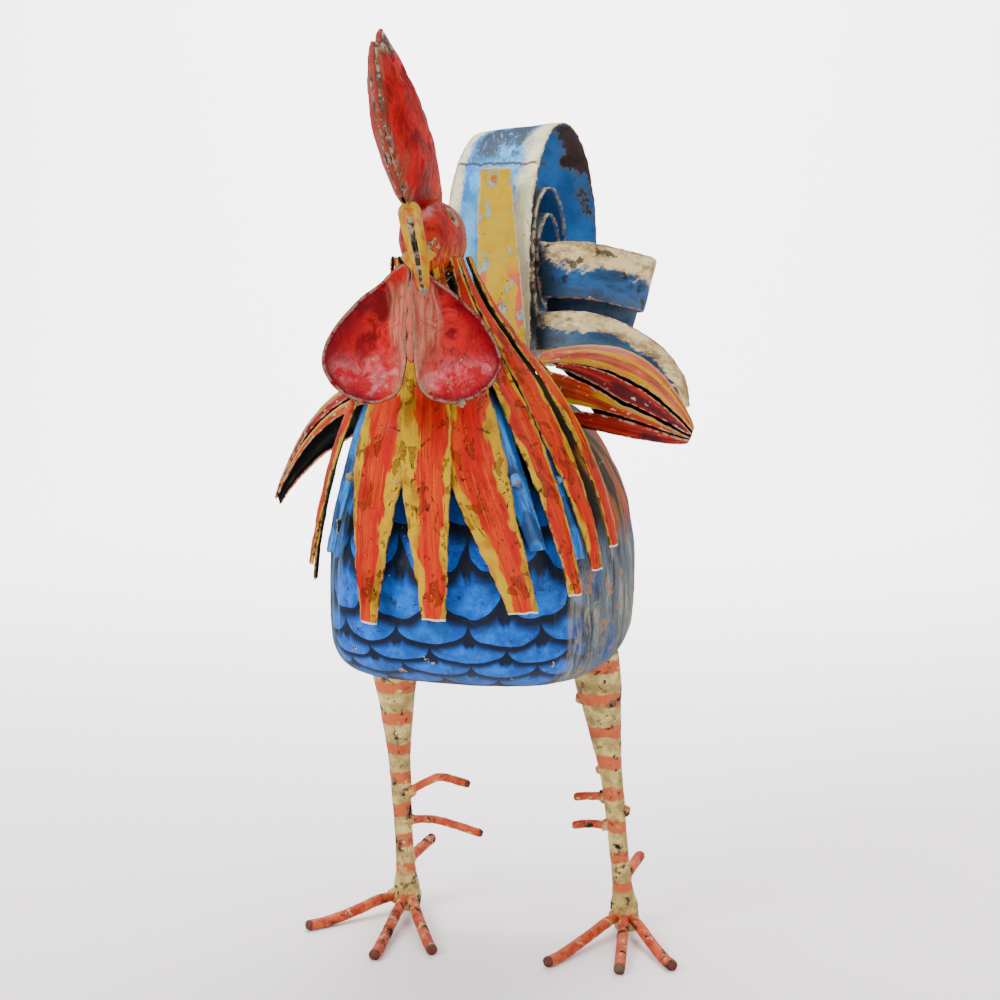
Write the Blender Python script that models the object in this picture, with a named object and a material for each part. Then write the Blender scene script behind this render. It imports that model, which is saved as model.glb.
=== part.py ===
"""A rooster of cut, bent and welded sheet iron, standing on bar toes and on the welds under its legs.

Metres, +Z up. The bird faces -Y and its left side is at +X. Every piece is a child of one empty,
which puts the middle of the whole figure's box over the world's origin.
"""
import math

import bmesh
import bpy
from mathutils import Vector

# Stock and clearances
SHEET = 0.0012
ROD_RADIUS = 0.003
SPUR_RADIUS = 0.0023
ROD_SIDES = 8
CLEARANCE = 0.0004

# Body shell: it is widest at BODY_WIDEST, with a round breast in front and a boat's taper behind
BODY_FRONT = -0.147
BODY_WIDEST = -0.062
BODY_REAR = 0.135
BODY_HALF_WIDTH = 0.0745
BODY_UNDERSIDE = 0.1545
BODY_GIRTH_HEIGHT = 0.203
BODY_BACK = 0.299
REAR_HEIGHT = 0.272
BODY_UPPER_POWER = 2.2
BODY_LOWER_POWER = 4.3
BODY_SECTIONS = 18
BODY_POINTS = 28
BODY_END_INSET = 0.0006

# Neck cone, in rows from the head down: height, half width, middle in Y, reach forward, reach back.
# Lower down its half width follows the body's, which it passes by the stand-off.
STAND_OFF = 0.0030
NECK_TABLE = (
    (0.374, 0.0120, -0.146, 0.026, 0.027),
    (0.350, 0.0185, -0.134, 0.028, 0.031),
    (0.326, 0.0310, -0.119, 0.034, 0.044),
    (0.302, 0.0460, -0.105, 0.045, 0.066),
    (0.278, BODY_HALF_WIDTH - 0.0165, -0.094, 0.058, 0.080),
    (0.254, BODY_HALF_WIDTH - 0.0075, -0.084, 0.068, 0.080),
    (0.230, BODY_HALF_WIDTH - 0.0010, -0.076, 0.076, 0.080),
    (0.206, BODY_HALF_WIDTH + STAND_OFF - 0.0005, -0.071, 0.081, 0.080),
    (0.182, BODY_HALF_WIDTH + STAND_OFF, -0.070, 0.083, 0.080),
)
NECK_FOOT = 0.275
NECK_INSET = 0.0045
NECK_POWER = 2.3
NECK_RINGS = 8
NECK_POINTS = 24

# Hackle strips: name, look, angles at the neck, half way and at the tip (degrees from the front, +
# to the bird's left), height of the tip, widest width, width at the tip, lift over the cone
HACKLES = (
    ("hackle_breast_right", "red", (-24, -23, -20), 0.194, 0.0305, 0.0090, 0.0006),
    ("hackle_breast_middle", "red", (0, 0, 3), 0.198, 0.0255, 0.0115, 0.0024),
    ("hackle_breast_left", "red", (22, 20, 31), 0.201, 0.0305, 0.0140, 0.0006),
    ("hackle_shoulder_left_front", "red", (45, 47, 49), 0.208, 0.0135, 0.0075, 0.0024),
    ("hackle_shoulder_left_middle", "red", (76, 65, 62), 0.218, 0.0180, 0.0085, 0.0006),
    ("hackle_shoulder_left_rear", "red", (112, 90, 74), 0.228, 0.0190, 0.0090, 0.0024),
    ("hackle_shoulder_right_front", "red", (-52, -54, -58), 0.216, 0.0125, 0.0070, 0.0024),
    ("hackle_shoulder_right_rear", "red", (-80, -74, -72), 0.205, 0.0150, 0.0060, 0.0006),
    ("hackle_under_right", "blue", (-42, -42, -46), 0.224, 0.0130, 0.0080, -0.0025),
    ("hackle_under_left_front", "blue", (34, 34, 39), 0.230, 0.0150, 0.0080, -0.0025),
    ("hackle_under_left_rear", "blue", (58, 56, 56), 0.224, 0.0120, 0.0080, -0.0025),
)
HACKLE_TOP_WIDTH = 0.0058
HACKLE_WIDEST = 0.54
HACKLE_TIP_RISE = 0.0020
BACK_HACKLES = 6
BACK_HACKLE_ARC = (131, 252)
BACK_HACKLE_LIFTS = (0.0003, 0.0027)
BACK_HACKLE_RISE = 0.010
BACK_HACKLE_TIP = BODY_BACK + BACK_HACKLE_RISE
BACK_HACKLE_WIDTH = 0.0170
BACK_HACKLE_TIP_WIDTH = 0.0105

# Head: an egg set on the neck's top, with a hole pierced through each side for the eye. The hackle
# strips start just under it.
HEAD_MIDDLE = Vector((0.003, -0.150, 0.374))
HEAD_HALF = Vector((0.0130, 0.0310, 0.0175))
HEAD_SEAT = 0.0160
NECK_TOP = HEAD_MIDDLE.z - HEAD_SEAT
HACKLE_DROP = 0.0008
HACKLE_TOP = NECK_TOP - HACKLE_DROP
EYE_RADIUS = 0.0028
EYE_DEPTH = 0.0060
EYE_SIDES = 10
EYE_PLACE = (-0.004, 0.0095)

# Comb: the outline in (Y, Z) from its front foot over the lobes to its rear foot
COMB_OUTLINE = (
    (-0.1770, 0.3880), (-0.1900, 0.4050), (-0.1985, 0.4300), (-0.1950, 0.4560), (-0.1885, 0.4550),
    (-0.1815, 0.4640), (-0.1720, 0.4540), (-0.1640, 0.4500), (-0.1590, 0.4390), (-0.1500, 0.4360),
    (-0.1450, 0.4230), (-0.1370, 0.4180), (-0.1340, 0.4040), (-0.1330, 0.3850), (-0.1580, 0.3850),
)
COMB_MIDDLE = (-0.168, 0.421)
COMB_BULGE = 0.0095
COMB_LEAN = -0.130
COMB_FOOT_X = -0.0010
COMB_FOOT_Z = 0.388
COMB_POINTS = 32
COMB_RINGS = 4

# Beak: rows of place, half width and depth from the head to the tip, and the section of a jaw as
# shares of the half width and the depth
BEAK_UPPER = (
    (0.0025, -0.1830, 0.3860, 0.0052, 0.0050),
    (0.0080, -0.1960, 0.3790, 0.0048, 0.0046),
    (0.0140, -0.2045, 0.3650, 0.0040, 0.0040),
    (0.0175, -0.2075, 0.3500, 0.0022, 0.0026),
)
BEAK_LOWER = (
    (0.0065, -0.1825, 0.3665, 0.0078, 0.0030),
    (0.0085, -0.1905, 0.3640, 0.0056, 0.0024),
    (0.0105, -0.1965, 0.3610, 0.0026, 0.0016),
)
BEAK_SECTION = (
    (-1.0, -0.28), (-0.9, 0.28), (-0.45, 0.76), (0.0, 0.8),
    (0.45, 0.76), (0.9, 0.28), (1.0, -0.28), (0.0, -0.6),
)
BEAK_CREST = 3
BEAK_GROOVE = 0.28
BEAK_STEPS = 8

# Wattles: the outline of the right one, in (sideways, up) from its top, and the dish
WATTLE_OUTLINE = (
    (0.0, 0.0), (-0.012, -0.0080), (-0.0255, -0.0185), (-0.0360, -0.0320), (-0.0395, -0.0430),
    (-0.0350, -0.0530), (-0.0255, -0.0595), (-0.0145, -0.0610), (-0.0045, -0.0560),
    (-0.0008, -0.0420), (-0.0003, -0.0200),
)
WATTLE_MIDDLE = (-0.0185, -0.0380)
WATTLE_TOP = Vector((0.0035, -0.1860, 0.3620))
WATTLE_SWEEP = 10.0
WATTLE_TURN = 13.0
WATTLE_DISH = 0.0100
WATTLE_POINTS = 24
WATTLE_RINGS = 4
WATTLE_JOINT = 0.0014

# Wings: each is a spindle from shoulder to tip, cut lengthwise into leaves. The heights of its root
# and tip are over the body's surface at the shoulder. A leaf has its middle angle about the spindle
# at the root and half way out (degrees from straight ahead of the bird, + upward), its share of the
# girth at the same two places, and how far out it starts.
WINGS = {
    "left": {
        "root": Vector((0.0340, -0.0480, 0.0217)), "tip": Vector((0.1040, -0.0450, -0.0043)),
        "rise": 0.0065, "half_height": 0.0215, "half_depth": 0.0110, "hook": Vector((0, 0, 0)),
        "leaves": (("top", 60, 58, 56, 66, 0.0), ("upper", 26, 8, 8, 30, 0.12),
                   ("front", 12, -19, 14, 20, 0.0), ("lower", -68, -61, 36, 60, 0.29),
                   ("back", 128, 180, 70, 158, 0.10)),
    },
    "right": {
        "root": Vector((-0.0340, -0.0480, 0.0197)), "tip": Vector((-0.1140, -0.0450, -0.0223)),
        "rise": 0.0060, "half_height": 0.0125, "half_depth": 0.0090, "hook": Vector((-0.005, 0, -0.022)),
        "leaves": (("top", 74, 74, 40, 42, 0.0), ("upper", 38, 38, 22, 26, 0.05),
                   ("front", 10, 10, 24, 26, 0.0), ("back", 192, 192, 176, 176, 0.30)),
    },
}
SHOULDER = 0.045
WING_ROOT_GIRTH = 0.28
WING_TIP_GIRTH = 0.970
LEAF_GAP = 0.0006

# Tail scroll: its middle is SCROLL_RISE over the back. It winds in quarter turns from the front, each
# with the radius and the middle of the turn in Y. Above its middle the strip narrows towards the
# bird's right by the flare.
SCROLL_QUARTERS = (
    (0.0760, 0.066), (0.0735, 0.066), (0.0760, 0.066), (0.0600, 0.056), (0.0370, 0.036),
    (0.0370, 0.034), (0.0350, 0.034), (0.0290, 0.034), (0.0245, 0.034), (0.0225, 0.034),
    (0.0205, 0.034),
)
SCROLL_RISE = 0.0685
SCROLL_HEIGHT = BODY_BACK + SCROLL_RISE
SCROLL_SIDES = (-0.0360, 0.0110)
SCROLL_FLARE = 0.06
SCROLL_FLARE_DEPTH = 0.3
SCROLL_FOOT = 0.004
SCROLL_STEPS_A_QUARTER = 6
TAIL_SEAT = 0.0012

# Other tail strips, in rows of place and width from the root out, with heights over the scroll's middle
STEM = (
    (0.0010, -0.0240, -0.0585, 0.0240), (-0.0020, -0.0195, -0.0225, 0.0240),
    (-0.0055, -0.0160, 0.0125, 0.0210), (-0.0065, -0.0150, 0.0455, 0.0165),
)
CURL_UPPER = (
    (0.0135, 0.0000, -0.0075, 0.0300), (0.0400, -0.0060, -0.0080, 0.0300), (0.0600, 0.0060, -0.0125, 0.0295),
    (0.0660, 0.0320, -0.0160, 0.0285), (0.0550, 0.0580, -0.0175, 0.0275), (0.0310, 0.0660, -0.0185, 0.0250),
)
CURL_LOWER = (
    (0.0135, 0.0160, -0.0345, 0.0260), (0.0360, 0.0140, -0.0350, 0.0260), (0.0530, 0.0230, -0.0365, 0.0255),
    (0.0560, 0.0380, -0.0375, 0.0240), (0.0440, 0.0480, -0.0375, 0.0220), (0.0280, 0.0490, -0.0375, 0.0200),
)
CURL_FACING = (
    (0, -1, -0.15), (0.1, -1, -0.2), (0.8, -0.7, -0.25), (1, 0.1, -0.25), (0.5, 0.9, -0.2), (-0.1, 1, -0.1),
)
SICKLE = (
    (0.0130, -0.0040, -0.0398, 0.0210), (0.0420, -0.0040, -0.0395, 0.0195), (0.0673, 0.0040, -0.0495, 0.0170),
    (0.0830, 0.0120, -0.0644, 0.0130), (0.0885, 0.0180, -0.0807, 0.0070),
)
SICKLE_FACING = (0.0, -0.95, 0.30)
SICKLE_RIGHT_SHARE = 0.68

# Legs: how far the middle is inside the body's half width at the top, the knee and the ground, with
# its Y and height, and rows of height and radius
LEGS = {
    "left": ((0.0223, -0.034, 0.163), (0.0180, -0.006, 0.084), (0.0140, 0.013, 0.0)),
    "right": ((0.0166, -0.034, 0.163), (0.0103, -0.006, 0.084), (0.0082, 0.013, 0.0)),
}
LEG_RADII = (
    (0.163, 0.0130), (0.145, 0.0124), (0.128, 0.0098), (0.108, 0.0076), (0.092, 0.0060),
    (0.060, 0.0052), (0.036, 0.0050), (0.022, 0.0058), (0.012, 0.0078), (0.004, 0.0076),
    (0.0, 0.0060),
)
LEG_POINTS = 14

# Toes: heading in degrees from straight ahead (+ to the bird's left) and length, for each leg
TOES = {
    "right": (("outer", -38.0, 0.066), ("middle", 7.0, 0.087), ("inner", 28.0, 0.080)),
    "left": (("inner", -20.0, 0.076), ("middle", 10.0, 0.073), ("outer", 33.0, 0.070)),
}
TOE_ROOT_HEIGHT = 0.0085
TOE_ROOT_RADIUS = 0.00125
TOE_SHOULDER = 0.0185
TOE_FLAT = 0.014
TOE_DROP = 0.0028
REAR_TOE_HEIGHT = 0.0285
REAR_TOE_LENGTH = 0.042

# Spurs: rows through the bar, as (reach towards the other leg, forward, height)
SPUR_STEPS = 6
SPURS = {
    "right": (
        ("upper", ((0.0, 0.0, 0.0720), (0.010, 0.0, 0.0785), (0.0185, 0.0, 0.0815), (0.030, 0.0, 0.0790))),
        ("lower", ((0.0, 0.0, 0.055), (0.012, 0.0, 0.0560), (0.024, 0.0, 0.0535), (0.037, 0.0, 0.0500))),
    ),
    "left": (
        ("upper", ((0.0, 0.0, 0.078), (0.008, 0.0, 0.0775), (0.016, 0.0, 0.0765))),
        ("lower", ((0.0, 0.0, 0.061), (0.010, 0.0, 0.0610), (0.019, 0.0, 0.0595))),
    ),
}

LOOKS = {
    "blue": ((0.045, 0.220, 0.560, 1.0), 0.45, 0.1),
    "sky": ((0.160, 0.400, 0.650, 1.0), 0.45, 0.1),
    "red": ((0.640, 0.070, 0.025, 1.0), 0.40, 0.1),
    "crimson": ((0.500, 0.020, 0.030, 1.0), 0.28, 0.1),
    "yellow": ((0.820, 0.560, 0.060, 1.0), 0.42, 0.1),
    "cream": ((0.620, 0.520, 0.310, 1.0), 0.55, 0.1),
    "orange": ((0.700, 0.140, 0.045, 1.0), 0.50, 0.1),
}


def spline(rows, t):
    """The smooth value at t, from 0 to 1, through evenly spaced rows of numbers."""
    last = len(rows) - 1
    place = min(max(t, 0.0), 1.0) * last
    i = min(int(place), last - 1)
    f = place - i
    p1 = Vector(rows[i])
    p2 = Vector(rows[i + 1])
    p0 = Vector(rows[i - 1]) if i > 0 else p1 * 2 - p2
    p3 = Vector(rows[i + 2]) if i + 2 <= last else p2 * 2 - p1
    bend = (2 * p0 - 5 * p1 + 4 * p2 - p3) * f * f + (3 * p1 - p0 - 3 * p2 + p3) * f ** 3
    return 0.5 * (2 * p1 + (p2 - p0) * f + bend)


def closed_spline(rows, t):
    """The smooth value at t, from 0 to 1, round a closed outline."""
    count = len(rows)
    place = (t % 1.0) * count
    i = int(place) % count
    f = place - int(place)
    near = [rows[(i + k - 1) % count] for k in range(4)]
    return spline(near, (1 + f) / 3)


def look(name):
    """The material of that name, made once."""
    if name in bpy.data.materials:
        return bpy.data.materials[name]
    colour, roughness, metallic = LOOKS[name]
    made = bpy.data.materials.new(name)
    made.use_nodes = True
    shader = made.node_tree.nodes["Principled BSDF"]
    shader.inputs["Base Color"].default_value = colour
    shader.inputs["Roughness"].default_value = roughness
    shader.inputs["Metallic"].default_value = metallic
    made.diffuse_color = colour
    return made


def add_piece(name, bm, look_name):
    """One named object from a bmesh, under the figure's empty."""
    mesh = bpy.data.meshes.new(name)
    bm.to_mesh(mesh)
    bm.free()
    mesh.materials.append(look(look_name))
    piece = bpy.data.objects.new(name, mesh)
    bpy.context.scene.collection.objects.link(piece)
    piece.parent = bpy.data.objects["rooster"]
    return piece


def sheet(name, surface, across, along, look_name, thickness=SHEET):
    """A sheet of even thickness about surface(u, v), with u and v from 0 to 1."""
    bm = bmesh.new()
    rows = []
    for j in range(along + 1):
        rows.append([bm.verts.new(surface(i / across, j / along)) for i in range(across + 1)])
    for lower, upper in zip(rows, rows[1:]):
        for i in range(across):
            bm.faces.new((lower[i], lower[i + 1], upper[i + 1], upper[i]))
    return solidified(name, bm, look_name, thickness)


def solidified(name, bm, look_name, thickness):
    """A piece of sheet: the surface in bm, thickened to both sides."""
    bm.normal_update()
    piece = add_piece(name, bm, look_name)
    wall = piece.modifiers.new("sheet", "SOLIDIFY")
    wall.thickness = thickness
    wall.offset = 0.0
    wall.use_even_offset = True
    return piece


def dished_plate(name, outline, middle, place, points, rings, look_name):
    """A sheet with a closed outline, dished in its middle: place(a, b, share) puts each point,
    where share goes from 0 in the middle to 1 at the rim."""
    bm = bmesh.new()
    centre = bm.verts.new(place(middle[0], middle[1], 0.0))
    loops = []
    for k in range(1, rings + 1):
        share = k / rings
        loop = []
        for i in range(points):
            edge = closed_spline(outline, i / points)
            a = middle[0] + (edge[0] - middle[0]) * share
            b = middle[1] + (edge[1] - middle[1]) * share
            loop.append(bm.verts.new(place(a, b, share)))
        loops.append(loop)
    for i in range(points):
        bm.faces.new((centre, loops[0][i], loops[0][(i + 1) % points]))
    for inner, outer in zip(loops, loops[1:]):
        for i in range(points):
            n = (i + 1) % points
            bm.faces.new((inner[i], outer[i], outer[n], inner[n]))
    return solidified(name, bm, look_name, SHEET)


def loft(name, rings, look_name):
    """A closed solid through rings of equal count, with a face over each end."""
    bm = bmesh.new()
    loops = [[bm.verts.new(point) for point in ring] for ring in rings]
    count = len(loops[0])
    for lower, upper in zip(loops, loops[1:]):
        for i in range(count):
            n = (i + 1) % count
            bm.faces.new((lower[i], lower[n], upper[n], upper[i]))
    bm.faces.new(list(reversed(loops[0])))
    bm.faces.new(loops[-1])
    bmesh.ops.recalc_face_normals(bm, faces=bm.faces)
    return add_piece(name, bm, look_name)


def rod(name, path, radii, look_name, sides=ROD_SIDES):
    """A bar through a path of points, with a radius at each, blunt ends and its flat side down."""
    rings = []
    for i, point in enumerate(path):
        before = path[max(i - 1, 0)]
        after = path[min(i + 1, len(path) - 1)]
        ahead = (after - before).normalized()
        side = ahead.cross(Vector((0, 0, 1))).normalized()
        up = side.cross(ahead)
        turn = [math.tau * (k + 0.5) / sides + math.pi / 2 for k in range(sides)]
        rings.append([point + radii[i] * (math.cos(a) * side + math.sin(a) * up) for a in turn])
    return loft(name, rings, look_name)


def cut_with(piece, tool):
    """Takes tool's shape out of piece, for good, and removes the tool."""
    cutter = piece.modifiers.new("cut", "BOOLEAN")
    cutter.operation = "DIFFERENCE"
    cutter.object = tool
    bpy.context.view_layer.update()
    found = piece.evaluated_get(bpy.context.evaluated_depsgraph_get())
    cut = bpy.data.meshes.new_from_object(found)
    piece.modifiers.clear()
    piece.data = cut
    bpy.data.objects.remove(tool)


def signed_power(value, power):
    return math.copysign(abs(value) ** power, value)


def body_section(y, grow=0.0):
    """The body's half width, lowest, widest and highest level at y."""
    if y < BODY_WIDEST:
        t = (BODY_WIDEST - y) / (BODY_WIDEST - BODY_FRONT + grow)
        width = (1 - t ** 2.3) ** (1 / 2.3)
        below = (1 - t ** 3.0) ** (1 / 3.0)
        above = (1 - t ** 2.2) ** (1 / 2.2)
        girth = BODY_GIRTH_HEIGHT
        low = girth - (girth - BODY_UNDERSIDE) * below
        high = girth + (BODY_BACK - girth) * above
    else:
        t = (y - BODY_WIDEST) / (BODY_REAR - BODY_WIDEST + grow)
        width = math.cos(math.pi / 2 * t) ** 0.9
        climb = t ** 2.2
        girth = BODY_GIRTH_HEIGHT + (REAR_HEIGHT - BODY_GIRTH_HEIGHT) * climb
        low = girth - (girth - BODY_UNDERSIDE) * (1 - t ** 2.4) ** 0.75
        saddle = 0.014 * math.sin(math.pi * t) ** 2
        high = girth + (BODY_BACK - saddle - girth) * (1 - t ** 4) ** 0.5
    return BODY_HALF_WIDTH * width + grow, low - grow, girth, high + grow


def body_surface(x, y):
    """The level of the body's upper surface at a place."""
    width, _, girth, high = body_section(y)
    rounded = 1 - (abs(x) / width) ** BODY_UPPER_POWER
    return girth + (high - girth) * rounded ** (1 / BODY_UPPER_POWER)


def body_rings(grow=0.0):
    """Rings round the body from the breast to the rear, grown outwards by grow."""
    rings = []
    for k in range(BODY_SECTIONS + 1):
        turn = math.pi * k / BODY_SECTIONS
        share = (1 - math.cos(turn)) / 2
        front = BODY_FRONT - grow + BODY_END_INSET
        rear = BODY_REAR + grow - BODY_END_INSET
        y = front + (rear - front) * share
        width, low, girth, high = body_section(y, grow)
        ring = []
        for i in range(BODY_POINTS):
            a = math.tau * i / BODY_POINTS
            upper = math.sin(a) >= 0
            power = 2 / (BODY_UPPER_POWER if upper else BODY_LOWER_POWER)
            height = high - girth if upper else girth - low
            x = width * signed_power(math.cos(a), power)
            ring.append(Vector((x, y, girth + height * signed_power(math.sin(a), power))))
        rings.append(ring)
    return rings


def neck_point(angle, z, lift=0.0):
    """The point of the neck cone at an angle from the front and a height, lifted off it."""
    first = NECK_TABLE[0][0]
    last = NECK_TABLE[-1][0]
    _, half, middle, ahead, behind = spline(NECK_TABLE, (first - z) / (first - last))
    a = math.radians(angle)
    reach = ahead if math.cos(a) > 0 else behind
    rounded = abs(math.sin(a) / half) ** NECK_POWER + abs(math.cos(a) / reach) ** NECK_POWER
    radius = rounded ** (-1 / NECK_POWER) + lift
    return Vector((radius * math.sin(a), middle - radius * math.cos(a), z))


def body():
    loft("body", body_rings(), "blue")


def neck_rings(grow=0.0):
    """Rings of the neck cone from its foot up, inside the strips that lie on it."""
    levels = [NECK_FOOT + (NECK_TOP - NECK_FOOT) * k / NECK_RINGS for k in range(NECK_RINGS + 1)]
    angles = [360 / NECK_POINTS * i for i in range(NECK_POINTS)]
    return [[neck_point(angle, z, grow - NECK_INSET) for angle in angles] for z in levels]


def neck():
    piece = loft("neck", neck_rings(), "orange")
    cut_with(piece, loft("cutter", body_rings(CLEARANCE), "blue"))


def hackle(name, look_name, angles, tip, wide, narrow, lift, along=8):
    """One tapering strip that follows the neck cone, with its tip standing a little proud."""
    def surface(u, v):
        z = HACKLE_TOP + (tip - HACKLE_TOP) * v
        angle = spline([(a, 0) for a in angles], v)[0]
        rise = lift + HACKLE_TIP_RISE * v ** 3
        if v < HACKLE_WIDEST:
            width = HACKLE_TOP_WIDTH + (wide - HACKLE_TOP_WIDTH) * math.sin(v / HACKLE_WIDEST * math.pi / 2)
        else:
            width = wide + (narrow - wide) * (v - HACKLE_WIDEST) / (1 - HACKLE_WIDEST)
        arc = (neck_point(angle + 1, z, rise) - neck_point(angle - 1, z, rise)).length / 2
        return neck_point(angle + (u - 0.5) * width / arc, z, rise)

    sheet(name, surface, 2, along, look_name)


def hackles():
    for row in HACKLES:
        hackle(*row)
    first, last = BACK_HACKLE_ARC
    for k in range(BACK_HACKLES):
        angle = first + (last - first) * k / (BACK_HACKLES - 1)
        lift = BACK_HACKLE_LIFTS[k % 2]
        hackle(f"hackle_back_{k + 1}", "orange", (angle, angle, angle), BACK_HACKLE_TIP,
               BACK_HACKLE_WIDTH, BACK_HACKLE_TIP_WIDTH, lift, along=6)


def egg(name, grow=0.0):
    """The whole egg of the head, grown outwards by grow."""
    bm = bmesh.new()
    bmesh.ops.create_uvsphere(bm, u_segments=18, v_segments=12, radius=1.0)
    for vert in bm.verts:
        place = Vector(vert.co[k] * (HEAD_HALF[k] + grow) for k in range(3))
        vert.co = HEAD_MIDDLE + place
    return add_piece(name, bm, "red")


def head():
    """The egg of the head, cut flat to sit on the neck, with both eyes pierced."""
    piece = egg("head")
    wide, deep = 2 * HEAD_HALF.x, 2 * HEAD_HALF.y
    corners = [HEAD_MIDDLE + Vector((wide * a, deep * b, 0)) for a, b in ((-1, -1), (1, -1), (1, 1), (-1, 1))]
    levels = (NECK_FOOT, NECK_TOP + CLEARANCE)
    under = [[Vector((corner.x, corner.y, z)) for corner in corners] for z in levels]
    cut_with(piece, loft("cutter", under, "red"))
    for side in (-1, 1):
        eye = HEAD_MIDDLE + Vector((side * HEAD_HALF.x, EYE_PLACE[0], EYE_PLACE[1]))
        path = [eye + Vector((side * reach, 0, 0)) for reach in (-EYE_DEPTH, EYE_DEPTH)]
        cut_with(piece, rod("cutter", path, [EYE_RADIUS] * 2, "red", EYE_SIDES))


def comb():
    """Two dished halves that meet rim to rim and lean together to the bird's right."""
    for side, name in ((1, "comb_left_half"), (-1, "comb_right_half")):
        def place(y, z, share, side=side):
            bulge = COMB_BULGE * (1 - share ** 2.4)
            rim = SHEET / 2 + CLEARANCE / 2
            lean = COMB_FOOT_X + COMB_LEAN * (z - COMB_FOOT_Z)
            return Vector((lean + side * (bulge + rim), y, z))

        half = dished_plate(name, COMB_OUTLINE, COMB_MIDDLE, place, COMB_POINTS, COMB_RINGS, "crimson")
        cut_with(half, egg("cutter", CLEARANCE))


def beak_half(name, rows, look_name, groove):
    """A tapering jaw, round above and flat below, with a groove along its crest."""
    rings = []
    for k in range(BEAK_STEPS + 1):
        t = k / BEAK_STEPS
        here = spline(rows, t)
        ahead = spline(rows, min(t + 0.04, 1.0)) - spline(rows, max(t - 0.04, 0.0))
        forward = Vector(ahead[:3]).normalized()
        side = Vector((1, 0, 0)) - forward * forward.x
        side.normalize()
        up = side.cross(forward)
        half, depth = here[3], here[4]
        ring = [Vector(here[:3]) + side * half * a + up * depth * b for a, b in BEAK_SECTION]
        ring[BEAK_CREST] -= up * depth * groove
        rings.append(ring)
    loft(name, rings, look_name)


def beak():
    beak_half("beak_upper", BEAK_UPPER, "yellow", BEAK_GROOVE)
    beak_half("beak_lower", BEAK_LOWER, "yellow", 0.0)


def wattles():
    """Two drops, dished towards the front and swept back a little at their outer edges."""
    for side, name in ((-1, "wattle_right"), (1, "wattle_left")):
        sweep = math.radians(WATTLE_SWEEP + side * WATTLE_TURN)

        def place(a, b, share, side=side, sweep=sweep):
            reach = -side * a + side * WATTLE_JOINT
            back = abs(a) * math.sin(sweep) + WATTLE_DISH * (1 - share ** 2)
            return WATTLE_TOP + Vector((reach * math.cos(sweep), back, b))

        dished_plate(name, WATTLE_OUTLINE, WATTLE_MIDDLE, place, WATTLE_POINTS, WATTLE_RINGS, "crimson")


def wing_leaf(name, wing, angles, shares, start):
    """One leaf of a wing: a lengthwise slice of the spindle, from its start out to the tip."""
    shoulder = Vector((0, 0, body_surface(SHOULDER, wing["root"].y)))
    first = wing["root"] + shoulder
    last = wing["tip"] + shoulder
    along = (last - first).normalized()
    forward = Vector((0, -1, 0))
    front = (forward - along * along.dot(forward)).normalized()
    up = Vector((0, 0, 1))
    up = (up - along * along.dot(up) - front * front.dot(up)).normalized()

    def surface(u, v):
        out = start + (1 - start) * v
        girth = math.sin(math.pi * (WING_ROOT_GIRTH + (WING_TIP_GIRTH - WING_ROOT_GIRTH) * out)) ** 0.7
        half_way = min(out / 0.5, 1.0)
        middle_angle = angles[0] + (angles[1] - angles[0]) * half_way
        share = shares[0] + (shares[1] - shares[0]) * half_way
        share -= math.degrees(LEAF_GAP / (wing["half_depth"] * girth))
        a = math.radians(middle_angle + (u - 0.5) * share)
        point = first.lerp(last, out) + up * wing["rise"] * math.sin(math.pi * out)
        point += front * wing["half_depth"] * girth * math.cos(a)
        point += up * wing["half_height"] * girth * math.sin(a)
        return point + wing["hook"] * out ** 6

    sheet(name, surface, 3, 8, "red")


def wings():
    for side, wing in WINGS.items():
        for leaf, root, half_way, share_root, share, start in wing["leaves"]:
            wing_leaf(f"wing_{side}_{leaf}", wing, (root, half_way), (share_root, share), start)


def scroll_path(turn):
    """The place of the tail scroll in (Y, Z) after so many turns from its front."""
    radius, middle = spline(SCROLL_QUARTERS, turn * 4 / (len(SCROLL_QUARTERS) - 1))
    a = math.tau * turn
    return middle - radius * math.cos(a), SCROLL_HEIGHT + radius * math.sin(a)


def tail_scroll():
    """The broad strip that rises from the back and winds over itself."""
    quarters = len(SCROLL_QUARTERS) - 1
    steps = quarters * SCROLL_STEPS_A_QUARTER
    front = scroll_path(0.0)
    foot = (front[0] + SCROLL_FOOT, body_surface(0.0, front[0]) + TAIL_SEAT)
    path = [foot, ((foot[0] + front[0]) / 2, (foot[1] + front[1]) / 2)]
    path += [scroll_path(quarters / 4 * k / steps) for k in range(steps + 1)]
    left, right = SCROLL_SIDES

    def surface(u, v):
        y, z = path[round(v * (len(path) - 1))]
        middle = SCROLL_QUARTERS[0][1]
        narrow = SCROLL_FLARE * (1 - u) if z > SCROLL_HEIGHT else 0.0
        z -= (z - SCROLL_HEIGHT) * narrow
        return Vector((left + (right - left) * u, y + (middle - y) * narrow * SCROLL_FLARE_DEPTH, z))

    sheet("tail_scroll", surface, 1, len(path) - 1, "sky")


def strip(name, rows, facing, look_name, along):
    """A strip through rows of place and width, with its flat side turned to facing."""
    middle = Vector((0, 0, SCROLL_HEIGHT))

    def surface(u, v):
        here = spline(rows, v)
        ahead = spline(rows, min(v + 0.03, 1.0)) - spline(rows, max(v - 0.03, 0.0))
        forward = Vector(ahead[:3]).normalized()
        normal = spline(facing, v) if len(facing) > 1 else Vector(facing[0])
        side = forward.cross(normal).normalized()
        return middle + Vector(here[:3]) + side * here[3] * (u - 0.5)

    sheet(name, surface, 1, along, look_name)


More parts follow.
